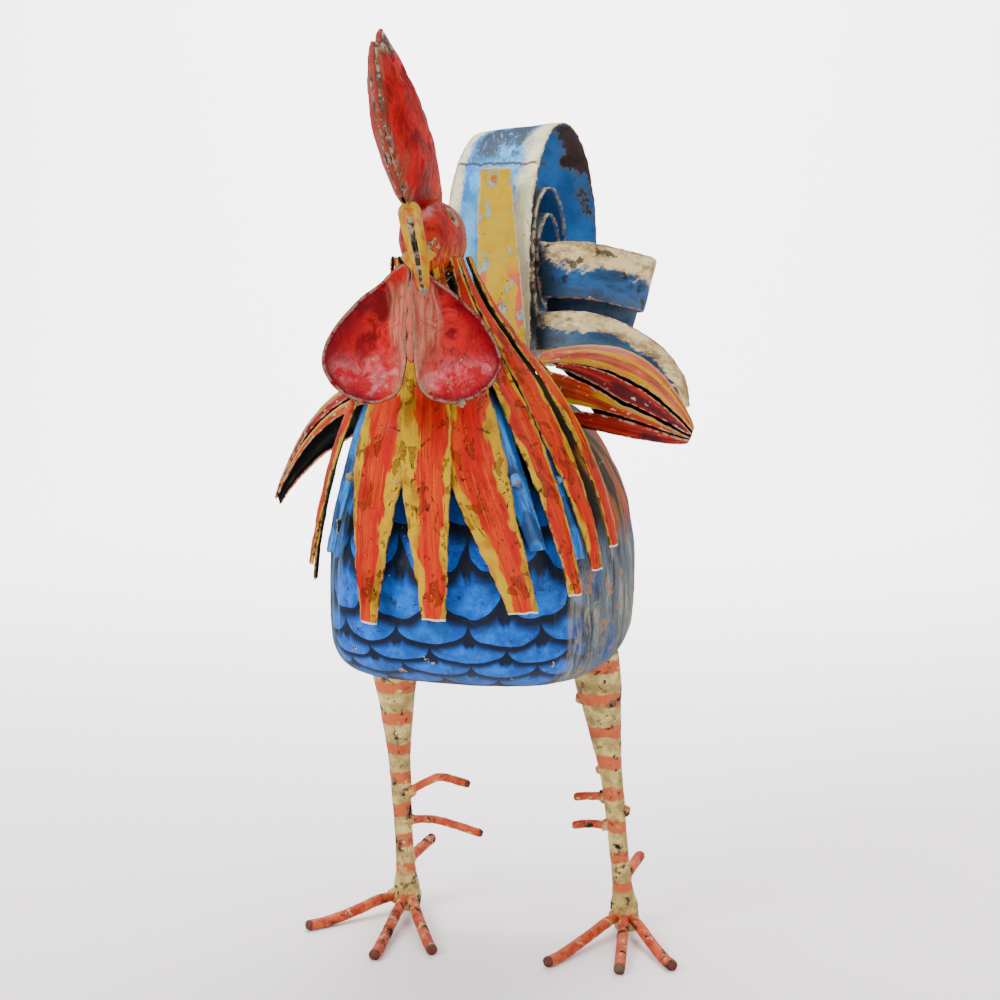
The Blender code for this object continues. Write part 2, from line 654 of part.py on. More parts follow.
def tail():
    tail_scroll()
    strip("tail_stem", STEM, ((0, -1, 0),), "yellow", 4)
    strip("tail_curl_upper", CURL_UPPER, CURL_FACING, "sky", 16)
    strip("tail_curl_lower", CURL_LOWER, CURL_FACING, "sky", 12)
    strip("tail_sickle_left", SICKLE, (SICKLE_FACING,), "sky", 12)
    left, right = SCROLL_SIDES
    mirrored = [(left + (right - x) * SICKLE_RIGHT_SHARE, y, z, width) for x, y, z, width in SICKLE]
    strip("tail_sickle_right", mirrored[::-1], (SICKLE_FACING,), "sky", 12)


def leg_middle(where, z):
    """The middle of a leg at a height: thigh above the knee, shank below."""
    side = 1 if where == "left" else -1
    top, knee, ground = (Vector((side * (BODY_HALF_WIDTH - x), y, high)) for x, y, high in LEGS[where])
    upper, lower = (top, knee) if z > knee.z else (knee, ground)
    return upper.lerp(lower, (upper.z - z) / (upper.z - lower.z))


def legs():
    """Rolled cones that end in the welds they stand on, with their toes and spurs."""
    for where in LEGS:
        rings = []
        for z, radius in LEG_RADII:
            middle = leg_middle(where, z)
            turn = [math.tau * i / LEG_POINTS for i in range(LEG_POINTS)]
            rings.append([middle + radius * Vector((math.cos(a), math.sin(a), 0)) for a in turn])
        leg = loft(f"leg_{where}", rings, "cream")
        cut_with(leg, loft("cutter", body_rings(CLEARANCE), "blue"))
        toes(where)
        spurs(where)


def leg_radius(z):
    """The leg's radius at a height, between the rows of its table."""
    for (high, wide), (low, narrow) in zip(LEG_RADII, LEG_RADII[1:]):
        if z >= low:
            return narrow + (wide - narrow) * (z - low) / (high - low)
    return LEG_RADII[-1][1]


def toes(where):
    """Three front toes, drawn thin where they meet at the ankle, and a rear toe above them."""
    flat = ROD_RADIUS * math.cos(math.pi / ROD_SIDES)
    ankle = leg_middle(where, TOE_ROOT_HEIGHT)
    ankle.z = 0.0
    root = leg_radius(TOE_ROOT_HEIGHT) + CLEARANCE
    for name, heading, length in TOES[where]:
        a = math.radians(heading)
        ahead = Vector((math.sin(a), -math.cos(a), 0))
        stations = (
            (root, TOE_ROOT_HEIGHT), (TOE_SHOULDER, TOE_ROOT_HEIGHT), (length * 0.5, flat + TOE_DROP),
            (length - TOE_FLAT, flat), (length, flat),
        )
        path = [ankle + ahead * reach + Vector((0, 0, z)) for reach, z in stations]
        radii = [TOE_ROOT_RADIUS] + [ROD_RADIUS] * (len(path) - 1)
        rod(f"toe_{where}_{name}", path, radii, "orange")
    start = leg_middle(where, REAR_TOE_HEIGHT)
    root = leg_radius(REAR_TOE_HEIGHT) + 2 * CLEARANCE
    path = [start + Vector((0, root + REAR_TOE_LENGTH * k / 2, 0)) for k in range(3)]
    rod(f"toe_{where}_rear", path, [ROD_RADIUS] * len(path), "orange")


def spurs(where):
    """Two short bars that reach from the shank towards the other leg."""
    side = 1 if where == "left" else -1
    for name, rows in SPURS[where]:
        foot = leg_middle(where, rows[0][2])
        slope = (rows[1][2] - rows[0][2]) / (rows[1][0] - rows[0][0])
        root = leg_radius(rows[0][2]) + 2 * CLEARANCE + abs(slope) * SPUR_RADIUS
        path = []
        for k in range(SPUR_STEPS + 1):
            reach, ahead, z = spline(rows, k / SPUR_STEPS)
            path.append(Vector((foot.x - side * (root + reach), foot.y - ahead, z)))
        rod(f"spur_{where}_{name}", path, [SPUR_RADIUS] * len(path), "orange")


def centre_figure():
    """Moves the empty so that the middle of the figure's box stands over the origin."""
    bpy.context.view_layer.update()
    evaluated = bpy.context.evaluated_depsgraph_get()
    low = Vector((1e9, 1e9, 1e9))
    high = -low
    for piece in bpy.data.objects:
        if piece.type != "MESH":
            continue
        for corner in piece.evaluated_get(evaluated).bound_box:
            place = piece.matrix_world @ Vector(corner)
            low = Vector(map(min, low, place))
            high = Vector(map(max, high, place))
    bpy.data.objects["rooster"].location = (-(low.x + high.x) / 2, -(low.y + high.y) / 2, -low.z)


def main():
    for thing in list(bpy.data.objects):
        bpy.data.objects.remove(thing)
    figure = bpy.data.objects.new("rooster", None)
    bpy.context.scene.collection.objects.link(figure)
    body()
    neck()
    hackles()
    head()
    comb()
    beak()
    wattles()
    wings()
    tail()
    legs()
    centre_figure()


main()
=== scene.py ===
"""A hand-painted rooster of cut and welded sheet iron, dressed in worn paint over its CAD solids.

Metres, +Z up. The bird faces -Y and its left side is at +X. Shapes are worked out in the figure's own
frame and moved by SHIFT into the frame of the CAD.
"""
import math

import bpy
from mathutils import Matrix, Vector, noise


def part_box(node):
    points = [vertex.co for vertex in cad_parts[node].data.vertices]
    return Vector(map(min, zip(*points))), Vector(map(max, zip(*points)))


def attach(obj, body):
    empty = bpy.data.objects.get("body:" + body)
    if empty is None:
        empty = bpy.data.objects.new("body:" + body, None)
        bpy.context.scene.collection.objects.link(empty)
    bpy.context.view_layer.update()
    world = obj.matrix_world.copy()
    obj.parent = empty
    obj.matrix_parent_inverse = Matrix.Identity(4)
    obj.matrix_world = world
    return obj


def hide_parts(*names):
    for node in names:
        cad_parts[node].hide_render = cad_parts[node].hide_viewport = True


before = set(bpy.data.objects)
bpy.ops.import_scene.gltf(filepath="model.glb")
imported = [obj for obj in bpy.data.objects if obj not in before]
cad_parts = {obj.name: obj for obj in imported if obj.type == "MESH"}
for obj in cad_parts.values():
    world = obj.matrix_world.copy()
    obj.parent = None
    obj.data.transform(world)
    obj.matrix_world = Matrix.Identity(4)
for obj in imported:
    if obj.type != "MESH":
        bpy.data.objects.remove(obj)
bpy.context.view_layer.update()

SHEET = 0.0012
ROD_RADIUS = 0.003
SPUR_RADIUS = 0.0023

# Dents as waves of height, size and seed. Those of sheets, plates and cuts are shares of their own depth.
BODY_DENTS = ((0.0007, 0.024, 0.0), (0.0003, 0.008, 2.0))
HEAD_DENTS = ((0.0004, 0.009, 0.0), (0.0002, 0.003, 0.0))
BAR_DENTS = ((0.00022, 0.004, 0.0), (0.0001, 0.0015, 0.0))
LEG_DENTS = ((0.00035, 0.008, 0.0),)
LEG_WELD_DENTS = ((0.0007, 0.0035, 0.0),)
SHEET_DENTS = ((1.0, 0.013, 0.0), (0.4, 0.004, 5.0))
PLATE_LUMP = 0.012
PLATE_DENTS = ((1.0, PLATE_LUMP, 0.0), (0.4, 0.004, 2.0))
CUT_WAVES = ((1.0, 0.006, 0.0), (0.5, 0.002, 3.0))

# Sheets: margins of the outer points, where the cut edges start to waver, and the thickness at the rim
SIDE_MARGIN = 0.035
END_MARGIN = 0.008
CUT_SIDE = 0.6
CUT_END = 0.94
SHEET_RIM = 0.55
PLATE_RIM = 0.6
ROLL_START = 0.93
MIDDLE_REACH = 0.02
NO_EDGE = 0.01
PLAIN = (0.5, 0.35, 0.0)

BODY_FRONT = -0.147
BODY_WIDEST = -0.062
BODY_REAR = 0.135
BODY_HALF_WIDTH = 0.0745
BODY_UNDERSIDE = 0.1545
BODY_GIRTH_HEIGHT = 0.203
BODY_BACK = 0.299
REAR_HEIGHT = 0.272
BODY_END_INSET = 0.0006
BODY_INSET = 0.0005
BODY_POWER_ABOVE = 2 / 2.2
BODY_POWER_BELOW = 2 / 4.3
BODY_SADDLE = 0.014

NECK_TABLE = (
    (0.374, 0.0120, -0.146, 0.026, 0.027),
    (0.350, 0.0185, -0.134, 0.028, 0.031),
    (0.326, 0.0310, -0.119, 0.034, 0.044),
    (0.302, 0.0460, -0.105, 0.045, 0.066),
    (0.278, 0.0580, -0.094, 0.058, 0.080),
    (0.254, 0.0670, -0.084, 0.068, 0.080),
    (0.230, 0.0735, -0.076, 0.076, 0.080),
    (0.206, 0.0770, -0.071, 0.081, 0.080),
    (0.182, 0.0775, -0.070, 0.083, 0.080),
)
NECK_POWER = 2.3
NECK_MIDDLE = NECK_TABLE[4][2]

# Hackle strips: node, angles at the neck, half way and at the tip, height of the tip, widest width,
# width at the tip, lift, and for the paint the middle and half width of the red (shares of the width)
HACKLES = (
    ("hackle_breast_right", (-24, -23, -20), 0.194, 0.0305, 0.0090, 0.0006, 0.42, 0.34),
    ("hackle_breast_middle", (0, 0, 3), 0.198, 0.0255, 0.0115, 0.0024, 0.56, 0.30),
    ("hackle_breast_left", (22, 20, 31), 0.201, 0.0305, 0.0140, 0.0006, 0.60, 0.27),
    ("hackle_shoulder_left_front", (45, 47, 49), 0.208, 0.0135, 0.0075, 0.0024, 0.50, 0.36),
    ("hackle_shoulder_left_middle", (76, 65, 62), 0.218, 0.0180, 0.0085, 0.0006, 0.45, 0.36),
    ("hackle_shoulder_left_rear", (112, 90, 74), 0.228, 0.0190, 0.0090, 0.0024, 0.40, 0.32),
    ("hackle_shoulder_right_front", (-52, -54, -58), 0.216, 0.0125, 0.0070, 0.0024, 0.50, 0.38),
    ("hackle_shoulder_right_rear", (-80, -74, -72), 0.205, 0.0150, 0.0060, 0.0006, 0.55, 0.40),
)
UNDER_HACKLES = (
    ("hackle_under_right", (-42, -42, -46), 0.224, 0.0130, 0.0080, -0.0025),
    ("hackle_under_left_front", (34, 34, 39), 0.230, 0.0150, 0.0080, -0.0025),
    ("hackle_under_left_rear", (58, 56, 56), 0.224, 0.0120, 0.0080, -0.0025),
)
HACKLE_TOP = 0.3660
HACKLE_CAD_TOP = 0.3572
HACKLE_TOP_WIDTH = 0.0058
HACKLE_WIDEST = 0.54
HACKLE_TIP_RISE = 0.0020
HACKLE_CROWN = 0.0009
BACK_HACKLES = 6
BACK_HACKLE_ARC = (131, 252)
BACK_HACKLE_LIFTS = (0.0003, 0.0027)
BACK_HACKLE_TIP = 0.309
BACK_HACKLE_WIDTH = 0.0170
BACK_HACKLE_TIP_WIDTH = 0.0105

HEAD_MIDDLE = Vector((0.003, -0.150, 0.374))
HEAD_HALF = Vector((0.0130, 0.0310, 0.0175))
EYE_RADIUS = 0.0028
EYE_PLACE = (-0.004, 0.0095)
EYE_RIM_RADIUS = 0.0037
EYE_RIM_RISE = 0.0006
EYE_EDGE = 0.0009
EYE_SINK = 0.0032

COMB_OUTLINE = (
    (-0.1770, 0.3880), (-0.1900, 0.4050), (-0.1985, 0.4300), (-0.1950, 0.4560), (-0.1885, 0.4550),
    (-0.1815, 0.4640), (-0.1720, 0.4540), (-0.1640, 0.4500), (-0.1590, 0.4390), (-0.1500, 0.4360),
    (-0.1450, 0.4230), (-0.1370, 0.4180), (-0.1340, 0.4040), (-0.1330, 0.3850), (-0.1580, 0.3850),
)
COMB_MIDDLE = (-0.168, 0.421)
COMB_BULGE = 0.0095
COMB_LEAN = -0.130
COMB_FOOT_X = -0.0010
COMB_FOOT_Z = 0.388
CLEARANCE = 0.0004

BEAK_UPPER = (
    (0.0025, -0.1830, 0.3860, 0.0052, 0.0050),
    (0.0080, -0.1960, 0.3790, 0.0048, 0.0046),
    (0.0140, -0.2045, 0.3650, 0.0040, 0.0040),
    (0.0175, -0.2075, 0.3500, 0.0022, 0.0026),
)
BEAK_LOWER = (
    (0.0065, -0.1825, 0.3665, 0.0078, 0.0030),
    (0.0085, -0.1905, 0.3640, 0.0056, 0.0024),
    (0.0105, -0.1965, 0.3610, 0.0026, 0.0016),
)

BEAK_SECTION = (
    (-1.0, -0.28), (-0.97, 0.02), (-0.90, 0.28), (-0.70, 0.58), (-0.45, 0.76), (-0.22, 0.72), (0.0, 0.55),
    (0.22, 0.72), (0.45, 0.76), (0.70, 0.58), (0.90, 0.28), (0.97, 0.02), (1.0, -0.28), (0.6, -0.48),
    (0.0, -0.6), (-0.6, -0.48),
)
BEAK_CREST = 0.76
BEAK_DENT = 0.00015

WATTLE_OUTLINE = (
    (0.0, 0.0), (-0.012, -0.0080), (-0.0255, -0.0185), (-0.0360, -0.0320), (-0.0395, -0.0430),
    (-0.0350, -0.0530), (-0.0255, -0.0595), (-0.0145, -0.0610), (-0.0045, -0.0560),
    (-0.0008, -0.0420), (-0.0003, -0.0200),
)
WATTLE_MIDDLE = (-0.0185, -0.0380)
WATTLE_TOP = Vector((0.0035, -0.1860, 0.3620))
WATTLE_SWEEP = 10.0
WATTLE_TURN = 13.0
WATTLE_DISH = 0.0100
WATTLE_JOINT = 0.0014

# Wing leaves: name, angles at the root and half way out, widths there in degrees of the girth, and where
# the leaf starts on the way from the root to the tip
WINGS = {
    "left": {
        "root": Vector((0.0340, -0.0480, 0.3040)), "tip": Vector((0.1040, -0.0450, 0.2780)),
        "rise": 0.0065, "half_height": 0.0215, "half_depth": 0.0110, "hook": Vector((0, 0, 0)),
        "leaves": (("top", 60, 58, 56, 66, -0.14), ("upper", 29, 8, 14, 30, 0.0),
                   ("front", -5, -19, 50, 20, -0.10), ("lower", -68, -61, 58, 60, 0.04),
                   ("back", 128, 180, 70, 158, -0.10)),
    },
    "right": {
        "root": Vector((-0.0340, -0.0480, 0.3020)), "tip": Vector((-0.1140, -0.0450, 0.2600)),
        "rise": 0.0060, "half_height": 0.0125, "half_depth": 0.0090, "hook": Vector((-0.005, 0, -0.022)),
        "leaves": (("top", 74, 74, 40, 42, 0.0), ("upper", 38, 38, 22, 26, 0.05),
                   ("front", 10, 10, 24, 26, 0.0), ("back", 192, 192, 176, 176, 0.30)),
    },
}
WING_ROOT_GIRTH = 0.28
WING_TIP_GIRTH = 0.970
LEAF_GAP = 0.0006
LEAF_DARK = {"upper": 0.85, "lower": 0.9}

SCROLL_QUARTERS = (
    (0.0760, 0.066), (0.0735, 0.066), (0.0760, 0.066), (0.0600, 0.056), (0.0370, 0.036),
    (0.0370, 0.034), (0.0350, 0.034), (0.0290, 0.034), (0.0245, 0.034), (0.0225, 0.034),
    (0.0205, 0.034),
)
SCROLL_HEIGHT = 0.3675
SCROLL_SIDES = (-0.0360, 0.0110)
SCROLL_FLARE = 0.06
SCROLL_FLARE_DEPTH = 0.3
SCROLL_FOOT = 0.004
TAIL_SEAT = 0.0012

STEM = (
    (0.0010, -0.0240, 0.309, 0.0240), (-0.0020, -0.0195, 0.345, 0.0240),
    (-0.0055, -0.0160, 0.380, 0.0210), (-0.0065, -0.0150, 0.413, 0.0165),
)
CURL_UPPER = (
    (0.0135, 0.0000, 0.3600, 0.0300), (0.0400, -0.0060, 0.3595, 0.0300), (0.0600, 0.0060, 0.3550, 0.0295),
    (0.0660, 0.0320, 0.3515, 0.0285), (0.0550, 0.0580, 0.3500, 0.0275), (0.0310, 0.0660, 0.3490, 0.0250),
)
CURL_LOWER = (
    (0.0135, 0.0160, 0.3330, 0.0260), (0.0360, 0.0140, 0.3325, 0.0260), (0.0530, 0.0230, 0.3310, 0.0255),
    (0.0560, 0.0380, 0.3300, 0.0240), (0.0440, 0.0480, 0.3300, 0.0220), (0.0280, 0.0490, 0.3300, 0.0200),
)
CURL_FACING = (
    (0, -1, -0.15), (0.1, -1, -0.2), (0.8, -0.7, -0.25), (1, 0.1, -0.25), (0.5, 0.9, -0.2), (-0.1, 1, -0.1),
)
SICKLE = (
    (0.0130, -0.0040, 0.3277, 0.0210), (0.0420, -0.0040, 0.3280, 0.0195), (0.0673, 0.0040, 0.3180, 0.0170),
    (0.0830, 0.0120, 0.3031, 0.0130), (0.0885, 0.0180, 0.2868, 0.0070),
)
SICKLE_FACING = (0.0, -0.95, 0.30)
SICKLE_RIGHT_SHARE = 0.68

LEGS = {
    "left": ((0.0522, -0.034, 0.163), (0.0565, -0.006, 0.084), (0.0605, 0.013, 0.0)),
    "right": ((-0.0579, -0.034, 0.163), (-0.0642, -0.006, 0.084), (-0.0663, 0.013, 0.0)),
}
LEG_RADII = (
    (0.163, 0.0130), (0.145, 0.0124), (0.128, 0.0098), (0.108, 0.0076), (0.092, 0.0060),
    (0.060, 0.0052), (0.036, 0.0050), (0.022, 0.0058), (0.012, 0.0078), (0.004, 0.0076),
    (0.0, 0.0060),
)
LEG_TOP = 0.163
LEG_BLEND = 0.003
LEG_SEAM_ANGLE = 4.4
LEG_SEAM_WIDTH = 0.12
LEG_SEAM_RISE = 0.0005
LEG_SOLE = 0.0008
ANKLE_HEIGHT = 0.012
LOWEST = 0.00005
TOES = {
    "right": (("outer", -38.0, 0.066), ("middle", 7.0, 0.087), ("inner", 28.0, 0.080)),
    "left": (("inner", -20.0, 0.076), ("middle", 10.0, 0.073), ("outer", 33.0, 0.070)),
}
TOE_ROOT_HEIGHT = 0.0085
TOE_ROOT_RADIUS = 0.0022
TOE_SHOULDER = 0.0185
TOE_FLAT = 0.014
TOE_DROP = 0.0028
REAR_TOE_HEIGHT = 0.0285
REAR_TOE_LENGTH = 0.042
REAR_TOE_EXTRA = 0.0018
SPURS = {
    "right": (
        ("upper", ((0.0, 0.0, 0.0720), (0.010, 0.0, 0.0785), (0.0185, 0.0, 0.0815), (0.034, 0.0, 0.0785))),
        ("lower", ((0.0, 0.0, 0.055), (0.012, 0.0, 0.0560), (0.024, 0.0, 0.0540), (0.041, 0.0, 0.0500))),
    ),
    "left": (
        ("upper", ((0.0, 0.0, 0.078), (0.008, 0.0, 0.0775), (0.016, 0.0, 0.0765))),
        ("lower", ((0.0, 0.0, 0.061), (0.010, 0.0, 0.0610), (0.019, 0.0, 0.0595))),
    ),
}

# Welds between hackle strips: angle round the neck, height, radius and whether the paint is blue
NECK_WELDS = (
    (10.5, 0.268, 0.0022, False), (-12.0, 0.262, 0.0022, False), (36.0, 0.263, 0.0030, True),
    (50.0, 0.228, 0.0028, True), (-38.5, 0.262, 0.0022, False), (56.0, 0.262, 0.0020, True),
)
# Knobs on the left leg: side, height and radius
LEG_KNOBS = ((-1, 0.1356, 0.0028), (-1, 0.0940, 0.0022), (1, 0.0700, 0.0030))
BLOB_DEPTH = 0.7
ANKLE_WELD_HEIGHT = 0.0095
ANKLE_WELD_REACH = 0.0085
ANKLE_WELD_RADIUS = 0.0042
REAR_WELD_REACH = 0.0062
REAR_WELD_RADIUS = 0.0036
SPUR_WELD_RADIUS = 0.0034
COMB_SEAM_RADIUS = 0.0011
WATTLE_SEAM_RADIUS = 0.0020
WATTLE_WELD = Vector((0.0215, 0.0075, -0.0608))

# The low corner of the scroll's box is the strip's true side, because the scroll narrows upwards on the
# bird's right
BODY_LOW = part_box("body")[0]
SCROLL_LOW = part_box("tail_scroll")[0]
SHIFT = Vector((SCROLL_LOW[0] - SCROLL_SIDES[0], BODY_LOW[1] - BODY_FRONT - BODY_END_INSET, 0.0))

# Lens and place of the camera, from the photograph's perspective
CAMERA_TURN = math.radians(16.0)
CAMERA_PITCH = math.radians(6.7)
CAMERA_LENS = 70.56
CAMERA_AWAY = 1.05
CAMERA_HEIGHT = 0.360
CAMERA_ASIDE = -0.008
FLOOR_DROP = 0.0002


# Smooth values through rows of numbers

def spline(rows, t):
    last = len(rows) - 1
    place = min(max(t, 0.0), 1.0) * last
    i = min(int(place), last - 1)
    f = place - i
    p1 = Vector(rows[i])
    p2 = Vector(rows[i + 1])
    p0 = Vector(rows[i - 1]) if i > 0 else p1 * 2 - p2
    p3 = Vector(rows[i + 2]) if i + 2 <= last else p2 * 2 - p1
    bend = (2 * p0 - 5 * p1 + 4 * p2 - p3) * f * f + (3 * p1 - p0 - 3 * p2 + p3) * f ** 3
    return 0.5 * (2 * p1 + (p2 - p0) * f + bend)


def closed_spline(rows, t):
    count = len(rows)
    place = (t % 1.0) * count
    i = int(place) % count
    f = place - int(place)
    near = [rows[(i + k - 1) % count] for k in range(4)]
    return spline(near, (1 + f) / 3)


def heading(rows, t, step):
    """The direction of travel at t through rows that start with a place."""
    ahead = spline(rows, min(t + step, 1.0)) - spline(rows, max(t - step, 0.0))
    return Vector(ahead[:3]).normalized()


def on_sphere(polar, a):
    return Vector((math.sin(polar) * math.cos(a), math.sin(polar) * math.sin(a), math.cos(polar)))


def rough(point, size, seed=0.0):
    """Even noise from about -1 to 1, with lumps of the given size."""
    return noise.noise(point / size + Vector((seed, seed * 0.7, -seed)))


def dents(point, waves, seed=0.0):
    """Noise of several sizes: each wave gives its height, its size and its own part of the seed."""
    return sum(height * rough(point, size, seed + own) for height, size, own in waves)


# Meshes. Three vectors on each point carry the paint: "lay" is the place on the piece in metres with the
# distance to the nearest edge, "share" is the place from 0 to 1 with 1 on the front and 0 behind, and
# "paint" holds what differs from piece to piece.

def add_piece(name, points, faces, lays, shares, material, nodes, paint=PLAIN):
    """A smooth-shaded piece that rides on the figure and stands for the given nodes."""
    mesh = bpy.data.meshes.new(name)
    mesh.from_pydata([point + SHIFT for point in points], [], faces)
    for title, rows in (("lay", lays), ("share", shares), ("paint", [paint] * len(points))):
        layer = mesh.attributes.new(title, "FLOAT_VECTOR", "POINT")
        layer.data.foreach_set("vector", [value for row in rows for value in row])
    mesh.materials.append(material)
    mesh.update()
    for polygon in mesh.polygons:
        polygon.use_smooth = True
    piece = bpy.data.objects.new(name, mesh)
    bpy.context.scene.collection.objects.link(piece)
    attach(piece, "root")
    if nodes:
        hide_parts(*nodes)


def spaced(count, edge):
    """Places from 0 to 1 with an extra one close to each end."""
    inner = [edge + (1 - 2 * edge) * k / (count - 2) for k in range(count - 1)]
    return [0.0] + inner + [1.0]


def grid_normals(grid):
    rows, columns = len(grid), len(grid[0])
    normals = []
    for j in range(rows):
        line = []
        for i in range(columns):
            across = grid[j][min(i + 1, columns - 1)] - grid[j][max(i - 1, 0)]
            along = grid[min(j + 1, rows - 1)][i] - grid[max(j - 1, 0)][i]
            line.append(across.cross(along).normalized())
        normals.append(line)
    return normals


def sheet_piece(name, surface, columns, rows, material, node, dent=0.0004, cut=0.0005, seed=0.0,
                paint=PLAIN, flip=False):
    """A cut sheet about surface(u, v): its edges waver by cut and its face is dented by dent."""
    us = spaced(columns, SIDE_MARGIN)
    vs = spaced(rows, END_MARGIN)
    base = [[surface(u, v) for u in us] for v in vs]
    grid = []
    for j, v in enumerate(vs):
        line = []
        side = (base[j][-1] - base[j][0]).normalized()
        end = max(abs(2 * v - 1) - CUT_END, 0) / (1 - CUT_END)
        for i, u in enumerate(us):
            point = base[j][i]
            edge = max(abs(2 * u - 1) - CUT_SIDE, 0) / (1 - CUT_SIDE)
            ahead = (base[min(j + 1, len(vs) - 1)][i] - base[max(j - 1, 0)][i]).normalized()
            waver = side * cut * edge * dents(point, CUT_WAVES, seed)
            line.append(point + waver + ahead * cut * end * rough(point, 0.004, seed + 7))
        grid.append(line)
    normals = grid_normals(grid)
    if flip:
        normals = [[-normal for normal in line] for line in normals]
    length = [0.0]
    middle = len(us) // 2
    for j in range(1, len(vs)):
        length.append(length[-1] + (grid[j][middle] - grid[j - 1][middle]).length)
    points, lays, shares = [], [], []
    for front in (1, 0):
        for j, v in enumerate(vs):
            wide = (grid[j][-1] - grid[j][0]).length
            for i, u in enumerate(us):
                on_rim = i in (0, len(us) - 1) or j in (0, len(vs) - 1)
                half = SHEET / 2 * (SHEET_RIM if on_rim else 1.0)
                lump = dent * dents(grid[j][i], SHEET_DENTS, seed)
                points.append(grid[j][i] + normals[j][i] * ((half if front else -half) + lump))
                edge = min(u * wide, (1 - u) * wide, length[j], length[-1] - length[j])
                lays.append(((u - 0.5) * wide, length[j], edge))
                shares.append((u, v, float(front)))
    count = len(us)
    size = count * len(vs)
    faces = []
    for j in range(len(vs) - 1):
        for i in range(count - 1):
            a = j * count + i
            face = (a, a + 1, a + 1 + count, a + count)
            faces += [face, tuple(k + size for k in reversed(face))]
    ring = list(range(count))
    ring += [j * count + count - 1 for j in range(1, len(vs))]
    ring += [(len(vs) - 1) * count + i for i in range(count - 2, -1, -1)]
    ring += [j * count for j in range(len(vs) - 2, 0, -1)]
    for k, here in enumerate(ring):
        after = ring[(k + 1) % len(ring)]
        faces.append((after, here, here + size, after + size))
    if flip:
        faces = [tuple(reversed(face)) for face in faces]
    add_piece(name, points, faces, lays, shares, material, [node], paint)


def tube_piece(name, rings, material, nodes):
    """A closed body through rings of equal count, each a run of points with their lay and share."""
    rings = [list(ring) for ring in rings]
    count = len(rings[0])
    points, lays, shares = zip(*(row for ring in rings for row in ring))
    faces = []
    for j in range(len(rings) - 1):
        for i in range(count):
            n = (i + 1) % count
            faces.append((j * count + i, j * count + n, (j + 1) * count + n, (j + 1) * count + i))
    faces.append(tuple(reversed(range(count))))
    last = (len(rings) - 1) * count
    faces.append(tuple(last + i for i in range(count)))
    half_way = len(rings) // 2 * count
    centre = sum(points[half_way:half_way + count], Vector()) / count
    a, b, c = (points[k] for k in faces[half_way][:3])
    if (b - a).cross(c - b).dot(a - centre) < 0:
        faces = [tuple(reversed(face)) for face in faces]
    add_piece(name, points, faces, lays, shares, material, nodes)


# Paint. A Graph builds one material's nodes, and a Value is a node's output that takes part in sums.

def operator(kind, turned=False):
    """A sum of a Value with a number or another Value, which stands first where it is turned."""
    def apply(self, other):
        first, second = (other, self) if turned else (self, other)
        return self.graph.math(kind, first, second)
    return apply


class Value:
    def __init__(self, graph, socket):
        self.graph = graph
        self.socket = socket

    def __abs__(self):
        return self.graph.math("ABSOLUTE", self)

    __add__ = operator("ADD")
    __radd__ = operator("ADD", turned=True)
    __sub__ = operator("SUBTRACT")
    __rsub__ = operator("SUBTRACT", turned=True)
    __mul__ = operator("MULTIPLY")
    __truediv__ = operator("DIVIDE")
    __mod__ = operator("MODULO")
    __pow__ = operator("POWER")


